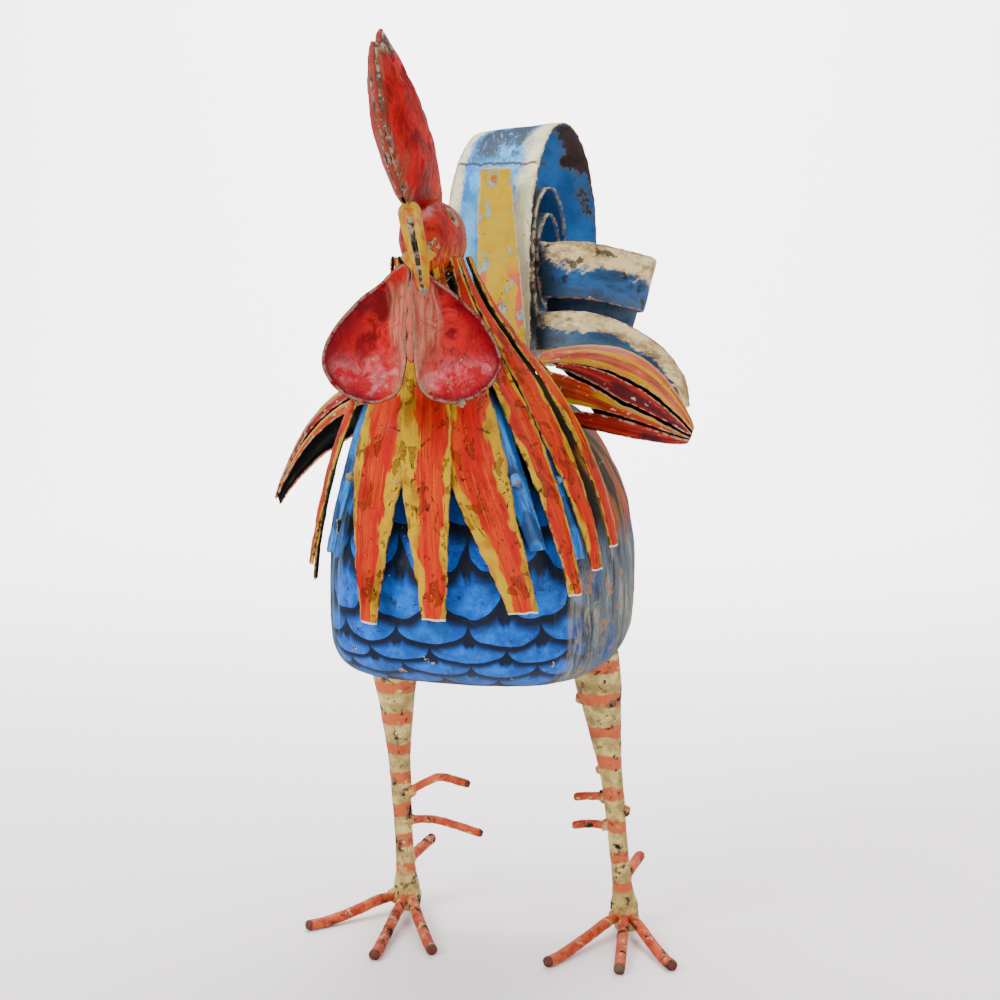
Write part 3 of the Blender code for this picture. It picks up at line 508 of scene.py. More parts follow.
class Graph:
    def __init__(self, name):
        self.material = bpy.data.materials.new(name)
        self.material.use_nodes = True
        self.tree = self.material.node_tree
        self.shader = self.tree.nodes["Principled BSDF"]

    def put(self, socket, value):
        if isinstance(value, Value):
            self.tree.links.new(value.socket, socket)
        elif isinstance(value, tuple) and len(value) == 3 and socket.type == "RGBA":
            socket.default_value = (*value, 1.0)
        else:
            socket.default_value = value

    def node(self, kind, inputs, result=0, **settings):
        """A new node with these inputs, by name or number, and the output asked for."""
        made = self.tree.nodes.new(kind)
        for key, value in settings.items():
            setattr(made, key, value)
        for key, value in inputs.items():
            self.put(made.inputs[key], value)
        return Value(self, made.outputs[result])

    def math(self, operation, a, b=0.5):
        return self.node("ShaderNodeMath", {0: a, 1: b}, operation=operation)

    def both(self, a, b):
        return self.math("MINIMUM", a, b)

    def either(self, a, b):
        return self.math("MAXIMUM", a, b)

    def mix(self, share, a, b, blend="MIX"):
        return self.node("ShaderNodeMix", {0: share, 6: a, 7: b}, 2, data_type="RGBA", blend_type=blend,
                         clamp_factor=True)

    def noise(self, place, scale, detail=3, roughness=0.55, distortion=0):
        return self.node("ShaderNodeTexNoise", {"Vector": place, "Scale": scale, "Detail": detail,
                                                "Roughness": roughness, "Distortion": distortion}, "Fac")

    def streaks(self, x, y, z, detail=3, roughness=0.55, distortion=0):
        """Noise over three values, each scaled on its own."""
        return self.noise(self.join(x, y, z), 1, detail, roughness, distortion)

    def cells(self, place, scale):
        return self.node("ShaderNodeTexVoronoi", {"Vector": place, "Scale": scale}, "Distance")

    def smooth(self, value, low, high):
        """0 below low and 1 above high, or the reverse where low is the greater."""
        turned = float(low > high)
        return self.node("ShaderNodeMapRange", {
            "Value": value, "From Min": min(low, high), "From Max": max(low, high),
            "To Min": turned, "To Max": 1 - turned,
        }, "Result", interpolation_type="SMOOTHSTEP")

    def stored(self, name):
        """The three numbers of a vector that each point carries, and the vector itself."""
        vector = self.node("ShaderNodeAttribute", {}, "Vector", attribute_name=name)
        return (*self.parts(vector), vector)

    def place(self):
        return self.node("ShaderNodeTexCoord", {}, "Object")

    def parts(self, vector):
        first = self.node("ShaderNodeSeparateXYZ", {0: vector})
        return [Value(self, output) for output in first.socket.node.outputs]

    def join(self, x, y, z):
        return self.node("ShaderNodeCombineXYZ", {0: x, 1: y, 2: z})

    def finish(self, colour, roughness, height, depth=0.0004, coat=0.0, shine=0.16):
        self.put(self.shader.inputs["Base Color"], colour)
        self.put(self.shader.inputs["Roughness"], roughness)
        self.shader.inputs["Specular IOR Level"].default_value = shine
        self.shader.inputs["Coat Weight"].default_value = coat
        self.shader.inputs["Coat Roughness"].default_value = COAT_ROUGHNESS
        bump = self.node("ShaderNodeBump", {"Strength": 1.0, "Distance": depth, "Height": height}, "Normal")
        self.put(self.shader.inputs["Normal"], bump)
        return self.material


PALE = (0.40, 0.29, 0.16)
BARE = (0.022, 0.016, 0.013)
RUST = (0.060, 0.022, 0.010)
# Near black: painted shade on the backs of strips and leaves and at the top of the under strips, and dark
# marks on the comb and beak
NEAR_BLACK = (0.0045, 0.0040, 0.0038)
YELLOW = (0.510, 0.305, 0.0015)
OCHRE = (0.340, 0.150, 0.003)
ORANGE = (0.530, 0.036, 0.002)
RED = (0.450, 0.0040, 0.0025)
COAT_ROUGHNESS = 0.18


def wear(g, colour, edge, chips=0.66, under=PALE, core=BARE, edge_pull=0.2, edge_width=0.003, grime=0.5,
         gloss=0.3):
    """Chips, bare edges, specks, stains and fine scratches over a coat of paint. Edge may be None."""
    place = g.place()
    blotch = g.noise(place, 85, 6, 0.62)
    fine = g.noise(place, 520, 3, 0.6)
    near = 0 if edge is None else g.smooth(edge, edge_width, 0) * edge_pull
    level = blotch + near + (fine - 0.5) * 0.16
    chip = g.smooth(level, chips, chips + 0.01)
    heart = g.smooth(level, chips + 0.03, chips + 0.045)
    ring = g.smooth(level, chips - 0.018, chips)
    stain = g.noise(place, 46, 3, 0.5)
    grimy = g.mix(1, colour, (0.42, 0.26, 0.18), "MULTIPLY")
    colour = g.mix(g.smooth(stain, 0.52, 0.72) * grime, colour, grimy)
    colour = g.mix(ring * 0.7, colour, (0.04, 0.016, 0.008))
    colour = g.mix(chip, colour, under)
    colour = g.mix(heart, colour, core)
    specks = g.smooth(g.cells(place, 330), 0.17, 0.09)
    sparse = g.smooth(g.noise(place, 60, 2), 0.47, 0.6)
    colour = g.mix(specks * (sparse * 0.9), colour, (0.02, 0.01, 0.007))
    lines = g.smooth(abs(g.noise(place, 38, 5, 0.6, 0.6) - 0.5), 0.005, 0.0018)
    colour = g.mix(lines * (sparse * 0.65), colour, (0.028, 0.01, 0.006))
    roughness = chip * 0.35 + (fine * 0.16 + (gloss - 0.05))
    height = chip * -0.8 + (stain * 0.9 + fine * 0.25)
    return colour, roughness, height


def flame_paint():
    """Red and orange heart, yellow edges, streaked along the strip, with cream on the cut edges, painted
    shade on the heart towards the top and near-black painted shade on the back face.
    """
    g = Graph("flame_paint")
    across, along, edge, lay = g.stored("lay")
    u, v, front, _ = g.stored("share")
    middle, half, seed, _ = g.stored("paint")
    brush = g.streaks(across * 900, along * 26, seed, 4, 0.62)
    wander = g.streaks(seed, along * 34, 0.7, 2)
    swell = g.streaks(along * 46, seed, 2.7, 2)
    off = abs(u - (middle + (wander - 0.5) * 0.85))
    bound = half * (0.3 + swell * 1.35) + (brush - 0.5) * 0.3
    inside = g.smooth(bound - off, -0.022, 0.028)
    warm = g.streaks(across * 240, along * 20, seed, 4, 0.6)
    heart = g.mix(g.smooth(warm, 0.42, 0.58), RED, ORANGE)
    fine = g.streaks(across * 1600, along * 34, seed, 2)
    heart = g.mix(g.smooth(fine, 0.57, 0.66), heart, (0.3, 0.022, 0.004))
    # Painted shade: the red heart darkens towards the top of the strip, under the head and wattles
    heart = g.mix(g.smooth(v, 0.46, 0.1) * 0.65, heart, (0.33, 0.008, 0.003))
    gold = g.mix(g.smooth(g.noise(lay, 90, 3), 0.45, 0.68), YELLOW, OCHRE)
    colour = g.mix(inside, gold, heart)
    thin = g.smooth(g.streaks(across * 2000, along * 30, 0.3, 3, 0.6), 0.64, 0.7)
    colour = g.mix(thin * 0.85, colour, g.mix(inside, (0.52, 0.1, 0.004), YELLOW))
    blister = g.noise(lay, 105, 3, 0.55, 0.8)
    colour = g.mix(g.smooth(blister, 0.585, 0.6) * 0.6, colour, (0.11, 0.02, 0.004))
    outline = g.smooth(abs(blister - 0.59), 0.012, 0.005)
    colour = g.mix(outline, colour, (0.028, 0.008, 0.004))
    colour, roughness, height = wear(g, colour, edge, chips=0.7, under=(0.11, 0.045, 0.02), edge_pull=0.12,
                                     edge_width=0.0022, grime=0.65)
    cut = g.smooth(edge, 0.001, 0.0003) * g.smooth(g.noise(lay, 300, 3), 0.44, 0.54)
    colour = g.mix(cut * 0.85, colour, (0.42, 0.24, 0.05))
    dark = g.smooth(edge, 0.0008, 0.0002) * g.smooth(g.noise(lay, 150, 4), 0.5, 0.42)
    colour = g.mix(dark * 0.8, colour, (0.02, 0.01, 0.006))
    colour = g.mix(g.smooth(v, 0.9935, 0.996) * 0.9, colour, (0.8, 0.72, 0.52))
    # Painted shade: the back face of the strip, towards the neck, is near black
    colour = g.mix(g.smooth(front, 0.4, 0.2), colour, NEAR_BLACK)
    height = height + brush * 0.7
    return g.finish(colour, roughness, height, depth=0.0005)


def wing_paint(name, tone, bright, stripes):
    """Streaked red with a dark brushed heart, yellow stripes where they are given, and pale chips, with
    near-black painted shade on the inner face.
    """
    g = Graph(name)
    across, along, edge, lay = g.stored("lay")
    u, v, front, _ = g.stored("share")
    dark, _, seed, _ = g.stored("paint")
    brush = g.streaks(across * 700, along * 34, seed, 4, 0.65)
    tuft = g.streaks(across * 260, along * 90, seed, 4, 0.7)
    colour = g.mix(g.smooth(brush, 0.38, 0.62), tone, bright)
    patch = g.streaks(u * 1.6, along * 48, seed, 2)
    middle = g.smooth(abs(u - 0.48), 0.48, 0.16)
    shade = g.smooth(patch + (tuft - 0.5) * 0.35, 0.43, 0.53) * middle
    colour = g.mix(shade * dark, colour, (0.05, 0.01, 0.016))
    for at, width, start, end in stripes:
        wander = g.streaks(seed, along * 30, at, 2)
        off = abs(u - (at - 0.11 + wander * 0.22))
        stripe = g.smooth(off + (brush - 0.5) * 0.1, width, width - 0.035)
        length = g.both(g.smooth(v, start, start + 0.08), g.smooth(v, end, end - 0.08))
        colour = g.mix(stripe * length, colour,
                       g.mix(g.smooth(brush, 0.5, 0.62), YELLOW, (0.6, 0.2, 0.005)))
    pale = g.smooth(g.noise(lay, 230, 4, 0.6), 0.655, 0.67)
    colour = g.mix(pale * 0.9, colour, (0.72, 0.4, 0.32))
    colour, roughness, height = wear(g, colour, edge, chips=0.72, edge_pull=0.14, edge_width=0.002,
                                     grime=0.3)
    cut = g.smooth(edge, 0.0009, 0.0003) * g.smooth(g.noise(lay, 300, 3), 0.44, 0.52)
    colour = g.mix(cut, colour, (0.46, 0.27, 0.16))
    # Painted shade: the inner face of the leaf is near black
    colour = g.mix(g.smooth(front, 0.4, 0.2), colour, NEAR_BLACK)
    height = height + brush * 0.8
    return g.finish(colour, roughness, height, depth=0.0005, coat=0.05)


def scale_paint():
    """Rows of airbrushed blue scales, with brushed worn flanks."""
    g = Graph("scale_paint")
    signed, up, _, lay = g.stored("lay")
    around = abs(signed)
    place = g.place()
    x, y, z = g.parts(place)
    wide, drop = 0.035, 0.8
    below = g.either(0.1972 - up, 0)
    above = g.either(up - 0.1972, 0)
    t = 10 - above * 46 + (below * 63.5 + below * below * 1320)
    t = t + (g.noise(lay, 40, 2) - 0.5) * 0.45
    s = signed + (g.noise(lay, 26, 2) - 0.5) * 0.014

    def bound(row):
        """How far down a row's scalloped edge is here, and how far to the side its nearest tip is."""
        odd = row % 2
        shifted = s / wide + odd * 0.5 + 100
        off = abs(g.math("FRACT", shifted) - 0.5)
        inside = g.either(1 - (off * 2.06) ** 2.4, 0)
        arc = inside ** 0.5
        return row - (1 - arc) * drop, off

    row = g.math("FLOOR", t)
    upper, upper_off = bound(row)
    lower, lower_off = bound(row + 1)
    on_lower = g.math("LESS_THAN", t, lower)
    cover = on_lower * upper + (1 - on_lower) * lower
    off = on_lower * upper_off + (1 - on_lower) * lower_off
    depth = t - cover
    grain = g.noise(lay, 160, 3)
    soft = depth + (grain - 0.5) * 0.14
    shade = g.smooth(soft, 0.62, 0.14)
    wedge = off - 0.5 + (0.165 - depth * 0.135)
    spike = g.smooth(wedge + (grain - 0.5) * 0.06, 0, 0.05)
    shade = g.either(shade, spike)
    mottle = g.noise(lay, 130, 5, 0.65)
    blue = g.mix(g.smooth(mottle, 0.36, 0.66), (0.002, 0.08, 0.45), (0.006, 0.16, 0.72))
    blue = g.mix(g.smooth(g.noise(lay, 48, 4, 0.6), 0.5, 0.64) * 0.6, blue, (0.012, 0.075, 0.22))
    blue = g.mix(g.smooth(up, 0.176, 0.162) * 0.45, blue, (0.03, 0.105, 0.27))
    charcoal = g.mix(g.smooth(up, 0.178, 0.165), (0.01, 0.012, 0.018), (0.028, 0.032, 0.044))
    colour = g.mix(shade * 0.97, blue, charcoal)
    rub = g.smooth(g.noise(lay, 60, 5, 0.7), 0.57, 0.64) * g.smooth(g.noise(lay, 420, 2), 0.46, 0.56)
    colour = g.mix(rub * 0.85, colour, (0.03, 0.04, 0.052))
    scratch = g.streaks(s * 130, up * 420, 5, 4, 0.6, 0.8)
    scratch = g.smooth(scratch, 0.655, 0.68) * 0.85
    colour = g.mix(scratch, colour, (0.022, 0.018, 0.018))
    brush = g.streaks(around * 150, up * 14, 0.5, 5, 0.7)
    hem = g.smooth(up, 0.161, 0.156)
    dull = g.mix(g.smooth(brush, 0.4, 0.62), (0.06, 0.1, 0.16), (0.11, 0.2, 0.34))
    colour = g.mix(hem * 0.8, colour, dull)
    right_edge = g.smooth(around + (brush - 0.5) * 0.05, 0.058, 0.07) * g.smooth(x, -0.02, -0.04)
    colour = g.mix(right_edge * 0.65, colour,
                   g.mix(g.smooth(brush, 0.42, 0.6), (0.03, 0.05, 0.075), (0.13, 0.3, 0.48)))
    flank = g.smooth(around + (brush - 0.5) * 0.05, 0.064, 0.078) * g.smooth(x, 0.02, 0.04)
    stroke = g.streaks(around * 230, up * 42, 4.5, 6, 0.75)
    band = g.streaks(around * 80, up * 22, 8.5, 5, 0.68)
    side = g.mix(g.smooth(stroke, 0.36, 0.58), (0.026, 0.03, 0.036), (0.11, 0.14, 0.17))
    side = g.mix(g.smooth(band, 0.5, 0.6) * 0.8, side, (0.3, 0.29, 0.22))
    side = g.mix(g.smooth(band, 0.45, 0.35) * 0.85, side, (0.018, 0.09, 0.27))
    side = g.mix(g.smooth(stroke, 0.6, 0.68) * 0.7, side, (0.07, 0.034, 0.016))
    high = g.smooth(z + (band - 0.5) * 0.05, 0.222, 0.24)
    curve = g.streaks(around * 60, up * 16, 1.5, 3, 0.5)
    arcs = g.mix(g.smooth(curve, 0.48, 0.54), (0.02, 0.012, 0.007), (0.25, 0.1, 0.006))
    arcs = g.mix(g.smooth(curve, 0.56, 0.61), arcs, (0.36, 0.014, 0.004))
    arcs = g.mix(g.smooth(curve, 0.44, 0.36), arcs, (0.028, 0.018, 0.01))
    colour = g.mix(flank, colour, g.mix(high, side, arcs))
    # Painted shade: the top of the body, under the hackle strips, goes near black
    back = g.smooth(z + (band - 0.5) * 0.02, 0.262, 0.282)
    colour = g.mix(back * 0.85, colour, (0.012, 0.014, 0.018))
    peach = g.smooth(g.noise(place, 75, 6, 0.68), 0.585, 0.605) * (flank * g.smooth(z, 0.225, 0.205))
    colour = g.mix(peach, colour, (0.3, 0.145, 0.08))
    seam = g.smooth(abs(x + 0.064), 0.004, 0.0015) * g.smooth(y, -0.02, -0.06)
    worn_seam = seam * g.smooth(g.noise(place, 140, 4, 0.7), 0.5, 0.56)
    colour = g.mix(worn_seam, colour, (0.15, 0.13, 0.11))
    colour, roughness, height = wear(g, colour, None, chips=0.668, under=(0.4, 0.38, 0.33), grime=0.3,
                                     gloss=0.38)
    height = height + mottle * 0.8
    return g.finish(colour, roughness, height, depth=0.0005, shine=0.12)


def comb_paint():
    """Crimson, orange-red to the rear, rubbed brown beside the seam and cracked near the foot."""
    g = Graph("comb_paint")
    a, b, edge, _ = g.stored("lay")
    place = g.place()
    swirl = g.noise(place, 60, 5, 0.66, 0.9)
    stroke = g.streaks(a * 420, b * 50, 1, 4, 0.6)
    rear = g.smooth(a + (swirl - 0.5) * 0.05, -0.172, -0.145)
    colour = g.mix(g.smooth(swirl, 0.38, 0.6), (0.17, 0.002, 0.004), (0.45, 0.005, 0.005))
    colour = g.mix(rear * 0.8, colour, (0.52, 0.014, 0.004))
    colour = g.mix(g.smooth(stroke, 0.56, 0.66) * 0.5, colour, (0.48, 0.035, 0.012))
    pink = g.smooth(b, 0.44, 0.452) * g.smooth(swirl, 0.42, 0.58)
    colour = g.mix(pink * 0.5, colour, (0.5, 0.06, 0.045))
    worn = edge + (g.noise(place, 150, 5, 0.7) - 0.5) * 0.01
    fore = g.smooth(a, -0.16, -0.178)
    rubbed = g.smooth(worn, 0.0042, 0.0022) * fore
    colour = g.mix(rubbed * 0.8, colour,
                   g.mix(g.smooth(stroke, 0.42, 0.6), (0.13, 0.036, 0.018), (0.33, 0.1, 0.06)))
    bare = g.smooth(worn, 0.0012, 0.0004) * g.either(fore, 0.35)
    grey = g.mix(g.smooth(g.noise(place, 330, 3), 0.44, 0.58), (0.06, 0.048, 0.038), (0.3, 0.26, 0.18))
    colour = g.mix(bare, colour, grey)
    tip = g.smooth(b + (g.noise(place, 150, 4) - 0.5) * 0.012, 0.452, 0.4575)
    colour = g.mix(tip * 0.85, colour, grey)
    cracks = abs(g.streaks(a * 70, b * 26, 0.2, 4) - 0.5)
    foot = g.smooth(b, 0.424, 0.402)
    colour = g.mix(g.smooth(cracks, 0.012, 0.003) * (foot * 0.9), colour, (0.13, 0.07, 0.04))
    high = g.smooth(abs(b - 0.4275), 0.0095, 0.007)
    torn = edge + (g.noise(place, 260, 3, 0.6) - 0.5) * 0.003
    scar = high * g.smooth(a, -0.16, -0.15)
    colour = g.mix(scar * g.smooth(torn, 0.0026, 0.002), colour, NEAR_BLACK)
    colour = g.mix(scar * g.smooth(torn, 0.0013, 0.0008), colour, YELLOW)
    colour, roughness, height = wear(g, colour, edge, chips=0.705, edge_pull=0.1, edge_width=0.002,
                                     grime=0.3, gloss=0.22)
    height = height + (stroke * 1 + swirl * 1.4)
    return g.finish(colour, roughness, height, depth=0.0006, coat=0.07, shine=0.12)


def wattle_paint():
    """Wet crimson, rubbed salmon beside the joint, pink paint with a painted highlight over it in the lower
    hollow, painted shade towards the outer rim, and a worn rim.
    """
    g = Graph("wattle_paint")
    a, b, edge, lay = g.stored("lay")
    front = g.stored("share")[2]
    place = g.place()
    swirl = g.noise(place, 85, 5, 0.68, 1)
    stroke = g.streaks(a * 520, b * 60, 4, 4, 0.62)
    colour = g.mix(g.smooth(swirl, 0.36, 0.6), (0.15, 0.002, 0.005), (0.4, 0.003, 0.007))
    glow = g.smooth(a, -0.026, -0.014) * g.smooth(swirl, 0.4, 0.56)
    colour = g.mix(glow * 0.7, colour, (0.56, 0.014, 0.01))
    # Painted shade: darker crimson towards the outer rim of the dish
    outer = g.smooth(edge, 0.011, 0.0015) * g.smooth(a, -0.01, -0.018)
    colour = g.mix(outer * 0.8, colour, (0.13, 0.002, 0.008))
    beside = a + (stroke - 0.5) * 0.008
    salmon = g.smooth(beside, -0.012, -0.006) * g.smooth(b, -0.004, -0.012)
    salmon = salmon * g.smooth(g.noise(lay, 130, 5, 0.7), 0.34, 0.46)
    colour = g.mix(salmon * 0.8, colour,
                   g.mix(g.smooth(stroke, 0.4, 0.6), (0.33, 0.085, 0.05), (0.52, 0.2, 0.13)))
    # Pink paint with a painted highlight over it, low in the hollow where the dish faces up
    hollow = g.noise(place, 95, 6, 0.72, 0.7)
    low = g.smooth(b + (hollow - 0.5) * 0.03, -0.034, -0.048)
    pink = low * g.smooth(edge, 0.001, 0.005)
    colour = g.mix(pink * 0.55, colour,
                   g.mix(g.smooth(hollow, 0.48, 0.64), (0.5, 0.008, 0.016), (0.82, 0.26, 0.3)))
    # Painted highlight: pale streaks low in the hollow
    highlight_streaks = g.streaks(a * 300, b * 420, 2, 4, 0.7)
    colour = g.mix(g.smooth(highlight_streaks, 0.66, 0.7) * (g.smooth(b, -0.036, -0.046) * 0.85), colour,
                   (0.85, 0.52, 0.55))
    colour, roughness, height = wear(g, colour, edge, chips=0.745, edge_pull=0.14, edge_width=0.0024,
                                     grime=0.15, gloss=0.17)
    bare = g.smooth(edge, 0.001, 0.0003) * g.smooth(g.noise(place, 260, 4, 0.7), 0.42, 0.54)
    colour = g.mix(bare, colour, (0.21, 0.13, 0.09))
    colour = g.mix(g.smooth(front, 0.4, 0.2), colour, (0.13, 0.005, 0.005))
    height = height + (stroke * 1.3 + swirl * 1.8)
    return g.finish(colour, roughness, height, depth=0.0008, coat=0.14, shine=0.12)


def beak_paint():
    """Yellow mottled with orange, with a worn brown trough down the crest."""
    g = Graph("beak_paint")
    _, v, groove, _ = g.stored("share")
    place = g.place()
    brush = g.noise(place, 160, 4, 0.6)
    colour = g.mix(g.smooth(brush, 0.44, 0.64), (0.43, 0.25, 0.0015), (0.42, 0.09, 0.003))
    colour, roughness, height = wear(g, colour, None, chips=0.7, grime=0.4)
    torn = (g.noise(place, 330, 4, 0.7) - 0.5) * 0.5
    trough = g.smooth(groove + torn, 0.22, 0.36) * g.smooth(v, 0.22, 0.34)
    worn = g.mix(g.smooth(g.noise(place, 380, 3), 0.46, 0.56), (0.03, 0.018, 0.01), (0.24, 0.2, 0.13))
    worn = g.mix(g.smooth(abs(v - 0.58), 0.09, 0.03), worn, NEAR_BLACK)
    colour = g.mix(trough, colour, worn)
    colour = g.mix(g.smooth(v, 0.95, 0.985), colour, (0.16, 0.145, 0.115))
    return g.finish(colour, roughness, height, depth=0.0005, coat=0.05)


def head_paint():
    """Orange-red over crimson, with bare rims round the pierced eyes and painted shade filling the eyes."""
    g = Graph("head_paint")
    a, b, eye, _ = g.stored("lay")
    place = g.place()
    _, z = g.parts(place)[1:]
    swirl = g.noise(place, 110, 5, 0.65, 0.8)
    colour = g.mix(g.smooth(swirl, 0.38, 0.6), (0.2, 0.005, 0.005), (0.4, 0.018, 0.006))
    lines = g.streaks(a * 900, b * 120, 0, 3)
    low = g.smooth(z, 0.376, 0.364) * g.smooth(lines, 0.44, 0.56)
    colour = g.mix(low, colour, (0.52, 0.09, 0.004))
    gold = g.smooth(z, 0.372, 0.366) * g.smooth(lines, 0.6, 0.66)
    colour = g.mix(gold, colour, YELLOW)
    colour, roughness, height = wear(g, colour, None, chips=0.655, grime=0.3, gloss=0.22)
    rim = g.smooth(abs(eye - 0.0034), 0.0013, 0.0006)
    rim = rim * g.smooth(g.noise(place, 300, 3), 0.36, 0.5)
    colour = g.mix(rim, colour, (0.27, 0.19, 0.1))
    # Painted shade: the pierced eyes are filled near black
    colour = g.mix(g.smooth(eye, 0.0029, 0.0024), colour, (0.002, 0.002, 0.002))
    return g.finish(colour, roughness, height, depth=0.0007, coat=0.05)


def tail_paint():
    """Pale blue between cream edges on the outer face, mid blue with rust patches on the inner, and painted
    shade darkening both faces on the inner turns of the coil.
    """
    g = Graph("tail_paint")
    across, along, edge, lay = g.stored("lay")
    u, _, front, _ = g.stored("share")
    place = g.place()
    x, y, z = g.parts(place)
    rubbed = g.streaks(across * 75, along * 34, 0.6, 6, 0.7)
    outer = g.mix(g.smooth(rubbed, 0.38, 0.6), (0.02, 0.19, 0.6), (0.075, 0.43, 0.86))
    away = abs(u - 0.46)
    sides = g.smooth(away + (rubbed - 0.5) * 0.5, 0.27, 0.38)
    outer = g.mix(sides, outer, g.mix(g.smooth(rubbed, 0.42, 0.62), (0.66, 0.62, 0.38), (0.86, 0.8, 0.5)))
    top = g.streaks(across * 70, along * 26, 2.6, 6, 0.72)
    top = g.smooth(top, 0.43, 0.52) * g.smooth(z, 0.415, 0.423)
    top = top * g.smooth(away, 0.4, 0.24)
    outer = g.mix(top * 0.95, outer, (0.008, 0.022, 0.045))
    slant = across + along * 0.35
    scratch = g.streaks(slant * 1400, along * 40, 3, 2, 0.5)
    outer = g.mix(g.smooth(scratch, 0.65, 0.69) * 0.85, outer, (0.34, 0.54, 0.58))
    shake = g.noise(g.join(x, 0, 0), 160, 4) * 0.006
    crack = g.smooth(abs(z + shake - 0.4195), 0.0012, 0.0004)
    outer = g.mix(crack * (g.smooth(y, 0.09, 0.07) * 0.9), outer, (0.05, 0.03, 0.015))
    inner = g.mix(g.smooth(g.noise(lay, 26, 4, 0.6), 0.4, 0.6), (0.008, 0.06, 0.2), (0.016, 0.11, 0.33))
    rust = g.noise(lay, 34, 6, 0.7)
    pull = g.smooth(u, 0.55, 1) * 0.16 + g.smooth(z, 0.385, 0.43) * 0.13
    patch = g.smooth(rust + pull, 0.69, 0.705) * g.smooth(y, 0.095, 0.11)
    halo = g.smooth(rust + pull, 0.62, 0.7) * g.smooth(y, 0.095, 0.11)
    inner = g.mix(halo * 0.7, inner, (0.075, 0.095, 0.085))
    inner = g.mix(patch, inner,
                  g.mix(g.smooth(rust, 0.48, 0.66), (0.05, 0.03, 0.022), (0.022, 0.012, 0.009)))
    # Painted shade: both faces darken on the inner turns of the coil
    coil_shade = g.smooth(along, 0.43, 0.47)
    coil_shade_colour = g.mix(g.smooth(g.noise(lay, 80, 5, 0.7), 0.44, 0.6), (0.01, 0.018, 0.03), (0.04, 0.075, 0.12))
    inner = g.mix(coil_shade * 0.4, inner, (0.006, 0.03, 0.11))
    outer = g.mix(coil_shade * 0.95, outer, coil_shade_colour)
    colour = g.mix(front, inner, outer)
    colour, roughness, height = wear(g, colour, edge, chips=0.735, under=(0.34, 0.28, 0.18), core=RUST,
                                     edge_pull=0.1, edge_width=0.002, grime=0.25, gloss=0.36)
    rim = g.smooth(edge, 0.0026, 0.0006) * g.smooth(g.noise(lay, 160, 5, 0.7), 0.4, 0.54)
    rim = rim * g.either(front, coil_shade * 0.45)
    colour = g.mix(rim, colour, (0.56, 0.46, 0.26))
    thin = g.smooth(edge, 0.0007, 0.0002) * g.smooth(g.noise(lay, 240, 3), 0.42, 0.52)
    colour = g.mix(thin, colour, (0.11, 0.052, 0.026))
    return g.finish(colour, roughness, height + rubbed * 0.6, depth=0.0005)


def feather_blue(name, cream_share, cream_from, dark_share, blue_tone):
    """Blue below and rubbed cream above, brushed on a slant, with rust on the edges, and near-black painted
    shade at the root end and on the back face.
    """
    g = Graph(name)
    across, along, edge, lay = g.stored("lay")
    u, v, front, _ = g.stored("share")
    high = 1 - u
    rub = g.streaks(across * 130, along * 60, 0.6, 6, 0.72)
    slant = g.streaks((across + along * 0.8) * 300, along * 50, 1.6, 4, 0.6)
    blue = g.mix(g.smooth(rub, 0.38, 0.62), (0.018, 0.05, 0.11), blue_tone)
    blue = g.mix(g.smooth(high, 0.34, 0.06) * 0.6, blue, (0.06, 0.1, 0.15))
    line = high + ((rub - 0.5) * 0.55 + (slant - 0.5) * 0.5)
    line = line + g.smooth(v, 0.1, 0.8) * 0.1
    cream = g.smooth(line, 1 - cream_share - 0.05, 1 - cream_share + 0.07)
    cream = cream * g.smooth(v + (rub - 0.5) * 0.1, cream_from - 0.03, cream_from + 0.05)
    colour = g.mix(cream, blue, g.mix(g.smooth(rub, 0.4, 0.58), (0.34, 0.23, 0.1), (0.8, 0.66, 0.33)))
    # Painted shade: near black at the root end, where the strip tucks behind the scroll
    colour = g.mix(g.smooth(v, 0.16, 0.01) * ((1 - cream) * 0.85), colour, (0.01, 0.016, 0.026))
    dark = g.smooth(g.noise(lay, 75, 4, 0.6), 0.6, 0.635)
    colour = g.mix(dark * dark_share, colour, (0.022, 0.016, 0.013))
    colour, roughness, height = wear(g, colour, edge, chips=0.715, under=(0.56, 0.5, 0.36), core=RUST,
                                     edge_pull=0.1, edge_width=0.002, grime=0.25, gloss=0.4)
    rim = g.smooth(edge, 0.0013, 0.0004) * g.smooth(g.noise(lay, 200, 4, 0.7), 0.44, 0.54)
    colour = g.mix(rim, colour, (0.3, 0.16, 0.075))
    # Painted shade: the back face is near black
    colour = g.mix(g.smooth(front, 0.4, 0.2) * 0.9, colour, (0.012, 0.022, 0.036))
    return g.finish(colour, roughness, height + rub * 0.6, depth=0.0005)


